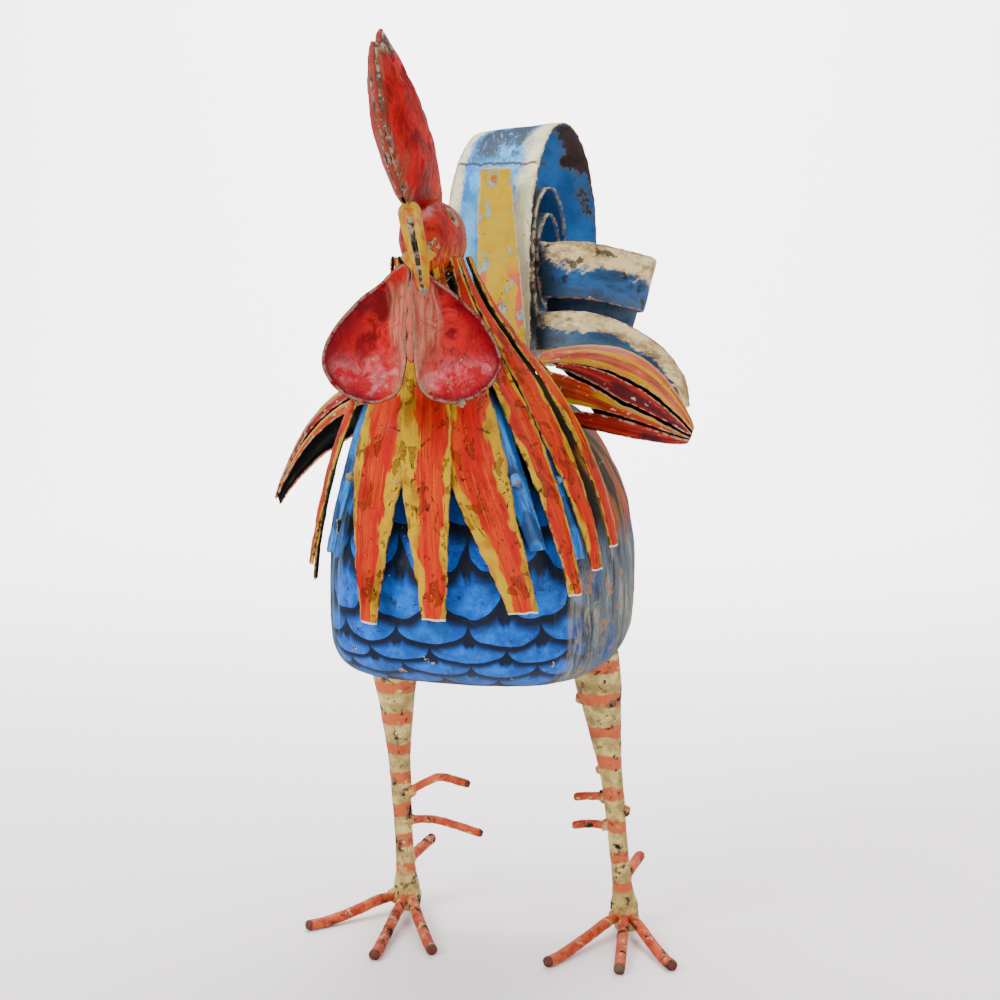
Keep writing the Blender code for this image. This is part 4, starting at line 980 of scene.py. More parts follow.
def stem_paint():
    """Yellow over pale blue, with salmon shapes towards the foot, and near-black painted shade on the back
    face.
    """
    g = Graph("stem_paint")
    across, along, edge, lay = g.stored("lay")
    u, v, front, _ = g.stored("share")
    z = g.parts(g.place())[2]
    tone = g.noise(lay, 45, 3)
    colour = g.mix(g.smooth(tone, 0.4, 0.66), (0.52, 0.335, 0.003), (0.48, 0.29, 0.002))
    shape = g.streaks(across * 130, along * 34, 6.2, 2, 0.4)
    salmon = g.smooth(shape, 0.455, 0.475) * g.smooth(z, 0.366, 0.354)
    colour = g.mix(salmon, colour, (0.56, 0.095, 0.045))
    chips = g.noise(lay, 120, 5, 0.66, 0.6)
    colour = g.mix(g.smooth(chips, 0.585, 0.597), colour, (0.22, 0.38, 0.4))
    spot = g.smooth(abs(v - 0.94), 0.03, 0.01)
    spot = spot * g.smooth(abs(u - 0.46), 0.14, 0.05)
    colour = g.mix(spot * 0.9, colour, (0.42, 0.09, 0.004))
    colour, roughness, height = wear(g, colour, edge, chips=0.74, under=(0.24, 0.36, 0.36),
                                     core=(0.05, 0.024, 0.01), edge_pull=0.1, edge_width=0.0018, grime=0.2)
    rim = g.smooth(edge, 0.0011, 0.0003) * g.smooth(g.noise(lay, 220, 4), 0.42, 0.52)
    colour = g.mix(rim, colour, (0.52, 0.42, 0.24))
    # Painted shade: the back face is near black
    colour = g.mix(g.smooth(front, 0.4, 0.2), colour, (0.012, 0.022, 0.036))
    return g.finish(colour, roughness, height - g.smooth(chips, 0.585, 0.597))


def under_paint():
    """Pale blue strips under the red ones, with painted shade: dark blotches and near black at the top."""
    g = Graph("under_paint")
    across, along, edge, lay = g.stored("lay")
    _, v, _, _ = g.stored("share")
    brush = g.streaks(across * 500, along * 40, 0.2, 4, 0.6)
    colour = g.mix(g.smooth(brush, 0.4, 0.64), (0.006, 0.09, 0.38), (0.045, 0.26, 0.68))
    # Painted shade: dark blotches and near black at the top, under the red strips
    dark = g.smooth(g.noise(lay, 50, 3), 0.5, 0.6)
    colour = g.mix(dark * 0.7, colour, (0.012, 0.014, 0.02))
    colour = g.mix(g.smooth(v, 0.55, 0.4), colour, NEAR_BLACK)
    colour, roughness, height = wear(g, colour, edge, chips=0.68, under=(0.36, 0.32, 0.26), edge_pull=0.14,
                                     edge_width=0.002, grime=0.35)
    return g.finish(colour, roughness, height, depth=0.0005)


def leg_paint():
    """Cream with brushed salmon bands, dark specks and chips."""
    g = Graph("leg_paint")
    _, up, _, _ = g.stored("lay")
    place = g.place()
    shake = g.noise(place, 90, 3, 0.6)
    level = up + (shake - 0.5) * 0.008
    wave = g.math("FRACT", level / 0.0188)
    band = g.both(g.smooth(wave, 0.08, 0.13), g.smooth(wave, 0.52, 0.46))
    band = band * g.smooth(g.noise(place, 130, 4, 0.65), 0.33, 0.42)
    band = band * g.smooth(up, 0.021, 0.025)
    cream = g.mix(g.smooth(g.noise(place, 120, 4, 0.6), 0.36, 0.66), (0.3, 0.22, 0.07), (0.66, 0.51, 0.17))
    colour = g.mix(band * 0.92, cream, (0.52, 0.088, 0.028))
    colour, roughness, height = wear(g, colour, None, chips=0.6, under=(0.2, 0.13, 0.07),
                                     core=(0.016, 0.01, 0.007), gloss=0.44)
    spots = g.smooth(g.noise(place, 230, 4, 0.65), 0.62, 0.64)
    colour = g.mix(spots * 0.9, colour, (0.02, 0.012, 0.008))
    return g.finish(colour, roughness, height, depth=0.0007)


def toe_paint():
    """Orange-red, rubbed to cream and bare metal, with a dark blunt end."""
    g = Graph("toe_paint")
    _, v, _, _ = g.stored("share")
    place = g.place()
    rub = g.noise(place, 120, 5, 0.68)
    colour = g.mix(g.smooth(rub, 0.38, 0.6), (0.36, 0.035, 0.012), (0.56, 0.1, 0.032))
    colour = g.mix(g.smooth(g.noise(place, 150, 4, 0.6), 0.585, 0.62), colour, (0.46, 0.29, 0.12))
    colour = g.mix(g.smooth(v, 0.13, 0.03) * 0.8, colour, (0.42, 0.28, 0.09))
    colour, roughness, height = wear(g, colour, None, chips=0.6, under=(0.1, 0.05, 0.025),
                                     core=(0.01, 0.007, 0.006), gloss=0.42)
    end = g.smooth(v + (rub - 0.5) * 0.1, 0.955, 0.975)
    colour = g.mix(end * 0.8, colour, (0.026, 0.022, 0.02))
    return g.finish(colour, roughness, height, depth=0.0006)


def weld_paint(name, paint, bare=0.5):
    """Rough weld metal under a torn coat of paint."""
    g = Graph(name)
    place = g.place()
    lumps = g.noise(place, 420, 4, 0.65)
    torn = g.smooth(g.noise(place, 210, 5, 0.68), bare - 0.04, bare + 0.04)
    metal = g.mix(g.smooth(lumps, 0.42, 0.6), (0.03, 0.023, 0.018), (0.2, 0.17, 0.12))
    colour = g.mix(torn, paint, metal)
    roughness = torn * 0.25 + 0.34
    return g.finish(colour, roughness, lumps, depth=0.0008)


def neck_shade_paint():
    """Painted shade: near black on the neck, where shade falls between the strips."""
    g = Graph("neck_shade_paint")
    place = g.place()
    mottle = g.noise(place, 90, 4, 0.6)
    colour = g.mix(g.smooth(mottle, 0.45, 0.7), (0.004, 0.0035, 0.0035), (0.016, 0.01, 0.007))
    return g.finish(colour, mottle * 0.3 + 0.5, mottle)


SALMON_RED = ((0.430, 0.060, 0.024), (0.600, 0.130, 0.060))
CRIMSON_RED = ((0.230, 0.008, 0.010), (0.430, 0.030, 0.018))
ORANGE_RED = ((0.440, 0.030, 0.008), (0.560, 0.085, 0.020))

FLAME = flame_paint()
# Stripes: where across the leaf, half width, and the stretch along it
WING = {
    "top": wing_paint("wing_top_paint", *SALMON_RED,
                      ((0.90, 0.10, -1, 2), (0.50, 0.09, 0.1, 2), (0.06, 0.12, -1, 2))),
    "upper": wing_paint("wing_upper_paint", *CRIMSON_RED, ()),
    "front": wing_paint("wing_front_paint", *ORANGE_RED, ((0.80, 0.20, 0.34, 2), (0.08, 0.16, -1, 0.45))),
    "lower": wing_paint("wing_lower_paint", *CRIMSON_RED, ()),
    "back": wing_paint("wing_back_paint", *ORANGE_RED, ((0.30, 0.06, 0.2, 0.9), (0.72, 0.05, 0.1, 0.8))),
}
SCALES = scale_paint()
COMB = comb_paint()
WATTLE = wattle_paint()
BEAK = beak_paint()
HEAD = head_paint()
TAIL = tail_paint()
CURL = feather_blue("curl_paint", 0.40, 0.02, 0.85, (0.022, 0.115, 0.340))
LOWER_CURL = feather_blue("lower_curl_paint", 0.12, 0.60, 0.50, (0.045, 0.080, 0.125))
SICKLE_BLUE = feather_blue("sickle_paint", 0.46, 0.0, 0.45, (0.040, 0.115, 0.210))
STEM_YELLOW = stem_paint()
UNDER = under_paint()
LEG = leg_paint()
TOE = toe_paint()
WELD = weld_paint("weld_paint", (0.34, 0.22, 0.10))
COMB_WELD = weld_paint("comb_weld_paint", (0.270, 0.030, 0.018), 0.58)
BLUE_WELD = weld_paint("blue_weld_paint", (0.050, 0.230, 0.620))
RED_WELD = weld_paint("joint_weld_paint", (0.420, 0.100, 0.060), 0.66)
NECK_SHADE_COAT = neck_shade_paint()


# The body shell

def signed_power(value, power):
    return math.copysign(abs(value) ** power, value)


def body_section(y):
    """The body's half width, lowest, widest and highest level at y."""
    if y < BODY_WIDEST:
        t = (BODY_WIDEST - y) / (BODY_WIDEST - BODY_FRONT)
        width = (1 - t ** 2.3) ** (1 / 2.3)
        below = (1 - t ** 3.0) ** (1 / 3.0)
        above = (1 - t ** 2.2) ** (1 / 2.2)
        girth = BODY_GIRTH_HEIGHT
        low = girth - (girth - BODY_UNDERSIDE) * below
        high = girth + (BODY_BACK - girth) * above
    else:
        t = (y - BODY_WIDEST) / (BODY_REAR - BODY_WIDEST)
        width = math.cos(math.pi / 2 * t) ** 0.9
        girth = BODY_GIRTH_HEIGHT + (REAR_HEIGHT - BODY_GIRTH_HEIGHT) * t ** 2.2
        low = girth - (girth - BODY_UNDERSIDE) * (1 - t ** 2.4) ** 0.75
        saddle = BODY_SADDLE * math.sin(math.pi * t) ** 2
        high = girth + (BODY_BACK - saddle - girth) * (1 - t ** 4) ** 0.5
    return BODY_HALF_WIDTH * width, low, girth, high


def girth_lengths():
    """The distance along the girth from the breast, at each bearing from the front."""
    rows = []
    reach = 0.0
    before = None
    steps, tiny = 240, 1e-6
    for k in range(steps + 1):
        share = (1 - math.cos(math.pi * k / steps)) / 2
        y = BODY_FRONT + (BODY_REAR - BODY_FRONT) * min(max(share, tiny), 1 - tiny)
        x = body_section(y)[0]
        here = Vector((x, y))
        if before is not None:
            reach += (here - before).length
        before = here
        rows.append((math.atan2(x, BODY_WIDEST - y), reach))
    return rows


GIRTH = girth_lengths()


def girth_at(x, y):
    bearing = math.atan2(abs(x), BODY_WIDEST - y)
    for (a0, s0), (a1, s1) in zip(GIRTH, GIRTH[1:]):
        if bearing <= a1:
            return s0 + (s1 - s0) * (bearing - a0) / max(a1 - a0, 1e-9)
    return GIRTH[-1][1]


def make_body():
    sections, count = 110, 150
    front = BODY_FRONT + BODY_END_INSET
    rear = BODY_REAR - BODY_END_INSET

    def ring(k):
        share = (1 - math.cos(math.pi * k / sections)) / 2
        y = front + (rear - front) * share
        width, low, girth, high = body_section(y)
        for i in range(count):
            a = math.tau * i / count
            upper = math.sin(a) >= 0
            power = BODY_POWER_ABOVE if upper else BODY_POWER_BELOW
            height = high - girth if upper else girth - low
            point = Vector((width * signed_power(math.cos(a), power), y,
                            girth + height * signed_power(math.sin(a), power)))
            outward = Vector((math.cos(a), (share - 0.3) * 0.8, math.sin(a))).normalized()
            point += outward * (dents(point, BODY_DENTS) - BODY_INSET)
            lay = (math.copysign(girth_at(point.x, point.y), point.x), point.z, 0.0)
            yield point, lay, (i / count, share, 1.0)

    tube_piece("body_shell", [ring(k) for k in range(sections + 1)], SCALES, ["body"])


# The neck and its strips

def neck_point(angle, z, lift=0.0):
    first = NECK_TABLE[0][0]
    last = NECK_TABLE[-1][0]
    _, half, middle, ahead, behind = spline(NECK_TABLE, (first - z) / (first - last))
    a = math.radians(angle)
    reach = ahead if math.cos(a) > 0 else behind
    rounded = abs(math.sin(a) / half) ** NECK_POWER + abs(math.cos(a) / reach) ** NECK_POWER
    radius = rounded ** (-1 / NECK_POWER) + lift
    return Vector((radius * math.sin(a), middle - radius * math.cos(a), z))


def hackle_surface(angles, tip, wide, narrow, lift, top):
    def surface(u, v):
        z = top + (tip - top) * v
        t = min(max((HACKLE_CAD_TOP - z) / (HACKLE_CAD_TOP - tip), 0.0), 1.0)
        angle = spline([(a, 0) for a in angles], t)[0]
        rise = lift + HACKLE_TIP_RISE * t ** 3
        if t < HACKLE_WIDEST:
            width = HACKLE_TOP_WIDTH + (wide - HACKLE_TOP_WIDTH) * math.sin(t / HACKLE_WIDEST * math.pi / 2)
        else:
            width = wide + (narrow - wide) * (t - HACKLE_WIDEST) / (1 - HACKLE_WIDEST)
        arc = (neck_point(angle + 1, z, rise) - neck_point(angle - 1, z, rise)).length / 2
        place = neck_point(angle + (u - 0.5) * width / arc, z, rise)
        crown = HACKLE_CROWN * (1 - (2 * u - 1) ** 2) * min(t * 3, 1.0)
        out = (place - Vector((0, NECK_MIDDLE, z))).normalized()
        return place + out * crown
    return surface


def make_hackles():
    for k, (node, angles, tip, wide, narrow, lift, middle, half) in enumerate(HACKLES):
        surface = hackle_surface(angles, tip, wide, narrow, lift, HACKLE_TOP)
        sheet_piece(f"{node}_strip", surface, 14, 120, FLAME, node, dent=0.0005, cut=0.0007,
                    seed=3.1 * k, paint=(middle, half, 7.7 * k + 1.3), flip=True)
    for k, (node, angles, tip, wide, narrow, lift) in enumerate(UNDER_HACKLES):
        surface = hackle_surface(angles, tip, wide, narrow, lift, HACKLE_CAD_TOP)
        sheet_piece(f"{node}_strip", surface, 8, 80, UNDER, node, seed=11.0 + k, flip=True)
    first, last = BACK_HACKLE_ARC
    for k in range(BACK_HACKLES):
        angle = first + (last - first) * k / (BACK_HACKLES - 1)
        node = f"hackle_back_{k + 1}"
        surface = hackle_surface((angle,) * 3, BACK_HACKLE_TIP, BACK_HACKLE_WIDTH, BACK_HACKLE_TIP_WIDTH,
                                 BACK_HACKLE_LIFTS[k % 2], HACKLE_TOP)
        sheet_piece(f"{node}_strip", surface, 10, 60, FLAME, node, seed=21.0 + k,
                    paint=(0.5, 0.34, 3.3 * k + 40.0), flip=True)


# The head, comb, beak and wattles

def make_head():
    around, levels = 144, 96
    eyes = [HEAD_MIDDLE + Vector((side * HEAD_HALF.x, *EYE_PLACE)) for side in (-1, 1)]

    def ring(j):
        polar = math.pi * (0.004 + 0.992 * j / levels)
        for i in range(around):
            a = math.tau * i / around
            unit = on_sphere(polar, a)
            point = HEAD_MIDDLE + Vector(unit[k] * HEAD_HALF[k] for k in range(3))
            out = Vector(unit[k] / HEAD_HALF[k] for k in range(3)).normalized()
            eye = eyes[0] if unit.x < 0 else eyes[1]
            near = math.hypot(point.y - eye.y, point.z - eye.z)
            rim = math.exp(-((near - EYE_RIM_RADIUS) / EYE_EDGE) ** 2) * EYE_RIM_RISE
            sink = EYE_SINK * min(max((EYE_RADIUS + 0.0002 - near) / EYE_EDGE, 0.0), 1.0)
            point += out * (dents(point, HEAD_DENTS) + rim - sink)
            yield point, (a * 0.013, polar * 0.02, near), (i / around, j / levels, 1.0)

    tube_piece("head_dome", [ring(j) for j in range(levels + 1)], HEAD, ["head"])


def plate_piece(name, outline, middle, place, count, rings, material, node, dent, seed, roll=0.0,
                facing=(0, -1, 0)):
    """A dished sheet with a closed outline; place(a, b, share) puts its points, 1 at the rim."""
    edges = [closed_spline(outline, i / count) for i in range(count)]
    levels = [(k / rings) ** 0.85 for k in range(1, rings)] + [0.985, 1.0]

    def flat(edge, share):
        return [m + (e - m) * share for m, e in zip(middle, edge)]

    grid = [[Vector(place(*flat(edge, share), share)) for edge in edges] for share in levels]
    centre = Vector(place(*middle, 0.0))
    normals = []
    for j, line in enumerate(grid):
        row = []
        for i in range(count):
            across = line[(i + 1) % count] - line[i - 1]
            inner = grid[j - 1][i] if j else centre
            outer = grid[min(j + 1, len(grid) - 1)][i]
            row.append(across.cross(outer - inner).normalized())
        normals.append(row)
    mean = sum(normals[0], Vector()).normalized()
    turned = mean.dot(Vector(facing)) < 0
    points, lays, shares = [], [], []
    for sign in (1, -1):
        front = float((sign > 0) != turned)
        lump = dent * rough(centre, PLATE_LUMP, seed)
        points.append(centre + mean * (sign * SHEET / 2 + lump))
        lays.append((*middle, MIDDLE_REACH))
        shares.append((0.0, 0.0, front))
        for j, line in enumerate(grid):
            share = levels[j]
            half = SHEET / 2 * (PLATE_RIM if j == len(grid) - 1 else 1.0)
            swell = roll * max(0.0, share - ROLL_START) / (1 - ROLL_START)
            for i, point in enumerate(line):
                lump = dent * dents(point, PLATE_DENTS, seed)
                points.append(point + normals[j][i] * (sign * (half + swell) + lump))
                far = (edges[i] - Vector(middle)).length * (1 - share)
                lays.append((*flat(edges[i], share), far))
                shares.append((i / count, share, front))
    size = 1 + count * len(grid)
    faces = []
    for i in range(count):
        n = (i + 1) % count
        faces.append((0, 1 + i, 1 + n))
        faces.append((size, size + 1 + n, size + 1 + i))
        for j in range(len(grid) - 1):
            a, b = 1 + j * count + i, 1 + j * count + n
            c, d = b + count, a + count
            faces.append((b, a, d, c))
            faces.append((size + a, size + b, size + c, size + d))
        a, b = 1 + (len(grid) - 1) * count + i, 1 + (len(grid) - 1) * count + n
        faces.append((b, a, size + a, size + b))
    a, b, c = (points[k] for k in faces[2][:3])
    if (b - a).cross(c - b).dot(normals[0][0]) < 0:
        faces = [tuple(reversed(face)) for face in faces]
    add_piece(name, points, faces, lays, shares, material, [node])


def comb_lean(z):
    return COMB_FOOT_X + COMB_LEAN * (z - COMB_FOOT_Z)


def make_comb():
    for side, name in ((1, "comb_left_half"), (-1, "comb_right_half")):
        def place(y, z, share):
            bulge = COMB_BULGE * (1 - share ** 2.4)
            rim = SHEET / 2 + CLEARANCE / 2
            return comb_lean(z) + side * (bulge + rim), y, z

        plate_piece(f"{name}_sheet", COMB_OUTLINE, COMB_MIDDLE, place, 150, 26, COMB, name,
                    0.0008, 2.0 + side, facing=(side, 0, 0))
    path = []
    steps, first, run = 230, 0.02, 0.83
    for k in range(steps + 1):
        y, z = closed_spline(COMB_OUTLINE, first + run * k / steps)
        path.append(Vector((comb_lean(z), y, z)))
    bead("comb_seam_weld", path, COMB_SEAM_RADIUS, COMB_WELD, 0.0004)


def bead(name, path, radius, material, ragged, ripple=0.25):
    """A run of weld metal along a path."""
    sides = 10

    def ring(k):
        point = path[k]
        ahead = (path[min(k + 1, len(path) - 1)] - path[max(k - 1, 0)]).normalized()
        side = ahead.cross(Vector((0.3, 0.2, 1.0))).normalized()
        up = side.cross(ahead)
        end = min(k, len(path) - 1 - k) / 3
        for i in range(sides):
            a = math.tau * i / sides
            out = math.cos(a) * side + math.sin(a) * up
            swell = radius * (1 + ripple * math.sin(k * 1.1)) + ragged * rough(point + out * 0.002, 0.0018)
            lay = (i / sides * 0.006, k * 0.001, NO_EDGE)
            share = (i / sides, k / (len(path) - 1), 1.0)
            yield point + out * swell * min(0.35 + 0.65 * end, 1.0), lay, share

    tube_piece(name, [ring(k) for k in range(len(path))], material, [])


def make_beak():
    steps, count = 60, 48
    for node, rows, groove in (("beak_upper", BEAK_UPPER, 1.0), ("beak_lower", BEAK_LOWER, 0.0)):
        def ring(k):
            t = k / steps
            here = spline(rows, t)
            forward = heading(rows, t, step=0.04)
            side = Vector((1, 0, 0)) - forward * forward.x
            side.normalize()
            up = side.cross(forward)
            tip = 1 - max(t - 0.93, 0) / 0.07 * 0.35
            for i in range(count):
                a, b = closed_spline(BEAK_SECTION, i / count)
                if groove == 0.0 and b > 0.5:
                    b = BEAK_CREST
                point = Vector(here[:3]) - side * here[3] * a * tip - up * here[4] * b * tip
                point += up * BEAK_DENT * rough(point, 0.002)
                dip = max(0.0, 1 - abs(a) / 0.42) if b > 0.4 else 0.0
                yield point, (a * 0.005, t * 0.04, NO_EDGE), (i / count, t, dip * groove)

        tube_piece(f"{node}_jaw", [ring(k) for k in range(steps + 1)], BEAK, [node])


def make_wattles():
    for side, name in ((-1, "wattle_right"), (1, "wattle_left")):
        sweep = math.radians(WATTLE_SWEEP + side * WATTLE_TURN)

        def place(a, b, share):
            reach = -side * a + side * WATTLE_JOINT
            back = abs(a) * math.sin(sweep) + WATTLE_DISH * (1 - share ** 2)
            return WATTLE_TOP + Vector((reach * math.cos(sweep), back, b))

        plate_piece(f"{name}_drop", WATTLE_OUTLINE, WATTLE_MIDDLE, place, 160, 30, WATTLE, name,
                    0.0009, 5.0 + side, roll=0.0004)


# Wings

def make_wings():
    for side, wing in WINGS.items():
        along = (wing["tip"] - wing["root"]).normalized()
        forward = Vector((0, -1, 0))
        front = (forward - along * along.dot(forward)).normalized()
        up = Vector((0, 0, 1))
        up = (up - along * along.dot(up) - front * front.dot(up)).normalized()
        for k, (leaf, root, half_way_angle, share_root, share_half, start) in enumerate(wing["leaves"]):
            def surface(u, v):
                out = start + (1 - start) * v
                swell = WING_ROOT_GIRTH + (WING_TIP_GIRTH - WING_ROOT_GIRTH) * out
                girth = math.sin(math.pi * swell) ** 0.7
                half_way = min(out / 0.5, 1.0)
                middle_angle = root + (half_way_angle - root) * half_way
                share = share_root + (share_half - share_root) * half_way
                share -= math.degrees(LEAF_GAP / (wing["half_depth"] * girth))
                a = math.radians(middle_angle + (u - 0.5) * share)
                point = wing["root"].lerp(wing["tip"], out) + up * wing["rise"] * math.sin(math.pi * out)
                point += front * wing["half_depth"] * girth * math.cos(a)
                point += up * wing["half_height"] * girth * math.sin(a)
                return point + wing["hook"] * out ** 6

            node = f"wing_{side}_{leaf}"
            sheet_piece(f"{node}_leaf", surface, 14, 90, WING[leaf], node, seed=31.0 + k,
                        paint=(LEAF_DARK.get(leaf, 0.3), 0.0, 5.5 * k + len(side)), flip=side == "left")


# The tail

def scroll_path(turn):
    radius, middle = spline(SCROLL_QUARTERS, turn * 4 / (len(SCROLL_QUARTERS) - 1))
    a = math.tau * turn
    return middle - radius * math.cos(a), SCROLL_HEIGHT + radius * math.sin(a)


def make_tail():
    quarters = len(SCROLL_QUARTERS) - 1
    steps, lead = quarters * 40, 40
    front = scroll_path(0.0)
    foot = (front[0] + SCROLL_FOOT, body_section(front[0])[3] + TAIL_SEAT)
    path = [(foot[0] + (front[0] - foot[0]) * k / lead, foot[1] + (front[1] - foot[1]) * k / lead)
            for k in range(lead)]
    path += [scroll_path(quarters / 4 * k / steps) for k in range(steps + 1)]
    left, right = SCROLL_SIDES

    def surface(u, v):
        place = v * (len(path) - 1)
        i = min(int(place), len(path) - 2)
        f = place - i
        y, z = (a + (b - a) * f for a, b in zip(path[i], path[i + 1]))
        middle = SCROLL_QUARTERS[0][1]
        narrow = SCROLL_FLARE * (1 - u) if z > SCROLL_HEIGHT else 0.0
        z -= (z - SCROLL_HEIGHT) * narrow
        return Vector((left + (right - left) * u, y + (middle - y) * narrow * SCROLL_FLARE_DEPTH, z))

    sheet_piece("tail_scroll_strip", surface, 16, 420, TAIL, "tail_scroll", dent=0.0005, cut=0.0006)


def strip_piece(node, rows, facing, material, along):
    def surface(u, v):
        here = spline(rows, v)
        normal = spline(facing, v) if len(facing) > 1 else Vector(facing[0])
        side = heading(rows, v, step=0.03).cross(normal).normalized()
        return Vector(here[:3]) + side * here[3] * (u - 0.5)

    sheet_piece(f"{node}_strip", surface, 14, along, material, node)


def make_strips():
    strip_piece("tail_stem", STEM, ((0, -1, 0),), STEM_YELLOW, 80)
    strip_piece("tail_curl_upper", CURL_UPPER, CURL_FACING, CURL, 140)
    strip_piece("tail_curl_lower", CURL_LOWER, CURL_FACING, LOWER_CURL, 120)
    strip_piece("tail_sickle_left", SICKLE, (SICKLE_FACING,), SICKLE_BLUE, 110)
    left, right = SCROLL_SIDES
    mirrored = [(left + (right - x) * SICKLE_RIGHT_SHARE, y, z, width) for x, y, z, width in SICKLE]
    strip_piece("tail_sickle_right", mirrored[::-1], (SICKLE_FACING,), SICKLE_BLUE, 110)


# Legs, toes and spurs

def leg_middle(where, z):
    top, knee, ground = (Vector(place) for place in LEGS[where])
    upper, lower = (top, knee) if z > knee.z else (knee, ground)
    return upper.lerp(lower, (upper.z - z) / (upper.z - lower.z))


def leg_radius(z):
    for (high, wide), (low, narrow) in zip(LEG_RADII, LEG_RADII[1:]):
        if z >= low:
            return narrow + (wide - narrow) * (z - low) / (high - low)
    return LEG_RADII[-1][1]


def make_legs():
    steps, count = 150, 40
    for k, where in enumerate(LEGS):
        def ring(j):
            z = LEG_TOP * (1 - j / steps)
            middle = leg_middle(where, z)
            above, below = min(z + LEG_BLEND, LEG_TOP), max(z - LEG_BLEND, 0.0)
            radius = (leg_radius(z) + leg_radius(above) + leg_radius(below)) / 3
            weld = max(0.0, 1 - abs(z - ANKLE_HEIGHT) / ANKLE_HEIGHT)
            for i in range(count):
                a = math.tau * i / count
                out = Vector((math.cos(a), math.sin(a), 0))
                point = middle + radius * out
                lump = dents(point, LEG_DENTS, k) + weld * dents(point, LEG_WELD_DENTS, k)
                seam = LEG_SEAM_RISE * math.exp(-((a - LEG_SEAM_ANGLE) / LEG_SEAM_WIDTH) ** 2)
                if z < LEG_SOLE:
                    lump = 0.0
                yield point + out * (lump + seam), (a * radius, z, NO_EDGE), (i / count, j / steps, 1.0)

        tube_piece(f"leg_{where}_cone", [ring(j) for j in range(steps + 1)], LEG, [f"leg_{where}"])
        make_toes(where)
        make_spurs(where)


def bar(node, path, radii, seed, steps=60, sides=20):
    """A worn bar through a few places, with rounded-off ends."""
    rows = [(*point, radius) for point, radius in zip(path, radii)]
    length = sum((b - a).length for a, b in zip(path, path[1:]))

    def ring(j):
        t = j / steps
        here = spline(rows, t)
        forward = heading(rows, t, step=0.02)
        side = forward.cross(Vector((0, 0, 1))).normalized()
        up = side.cross(forward)
        end = min(t, 1 - t) * length
        blunt = 0.72 + 0.28 * min(end / 0.0012, 1.0) ** 0.5
        for i in range(sides):
            a = math.tau * i / sides
            out = math.cos(a) * side + math.sin(a) * up
            point = Vector(here[:3]) + out * here[3] * blunt
            point += out * dents(point, BAR_DENTS, seed)
            point.z = max(point.z, LOWEST)
            yield point, (a * here[3], t * length, NO_EDGE), (i / sides, t, 1.0)

    tube_piece(f"{node}_bar", [ring(j) for j in range(steps + 1)], TOE, [node])


def make_toes(where):
    flat = ROD_RADIUS * math.cos(math.pi / 8)
    ankle = leg_middle(where, TOE_ROOT_HEIGHT)
    ankle.z = 0.0
    root = leg_radius(TOE_ROOT_HEIGHT) - 0.002
    for k, (name, turn, length) in enumerate(TOES[where]):
        a = math.radians(turn)
        ahead = Vector((math.sin(a), -math.cos(a), 0))
        stations = (
            (root, TOE_ROOT_HEIGHT), (TOE_SHOULDER, TOE_ROOT_HEIGHT), (length * 0.5, flat + TOE_DROP),
            (length - TOE_FLAT, flat), (length, flat),
        )
        path = [ankle + ahead * reach + Vector((0, 0, z)) for reach, z in stations]
        radii = [TOE_ROOT_RADIUS] + [ROD_RADIUS] * (len(path) - 1)
        bar(f"toe_{where}_{name}", path, radii, k + len(where))
    start = leg_middle(where, REAR_TOE_HEIGHT)
    root = leg_radius(REAR_TOE_HEIGHT) - 0.001
    path = [start + Vector((0, root + REAR_TOE_LENGTH * k / 2, 0)) for k in range(3)]
    path[2] = path[2] + Vector((0, REAR_TOE_EXTRA, 0))
    bar(f"toe_{where}_rear", path, [ROD_RADIUS] * 3, 9.0)


def make_spurs(where):
    side = 1 if where == "left" else -1
    for k, (name, rows) in enumerate(SPURS[where]):
        foot = leg_middle(where, rows[0][2])
        root = leg_radius(rows[0][2]) + 0.0002
        path = [Vector((foot.x - side * (root + reach), foot.y - ahead, z)) for reach, ahead, z in rows]
        path[0] = path[0] + Vector((side * 0.0015, 0, 0))
        bar(f"spur_{where}_{name}", path, [SPUR_RADIUS] * len(path), 15.0 + k, 40, 16)


# Weld lumps between the pieces

def blob(name, middle, radius, material, seed):
    levels, count = 12, 18

    def ring(j):
        polar = math.pi * (0.02 + 0.96 * j / levels)
        for i in range(count):
            a = math.tau * i / count
            unit = on_sphere(polar, a)
            swell = radius * (1 + 0.35 * noise.noise(unit * 1.7 + Vector((seed, 0, 0))))
            point = middle + Vector((unit.x * swell, unit.y * swell * BLOB_DEPTH, unit.z * swell))
            yield point, (a, polar, NO_EDGE), (i / count, j / levels, 1.0)

    tube_piece(name, [ring(j) for j in range(levels + 1)], material, [])


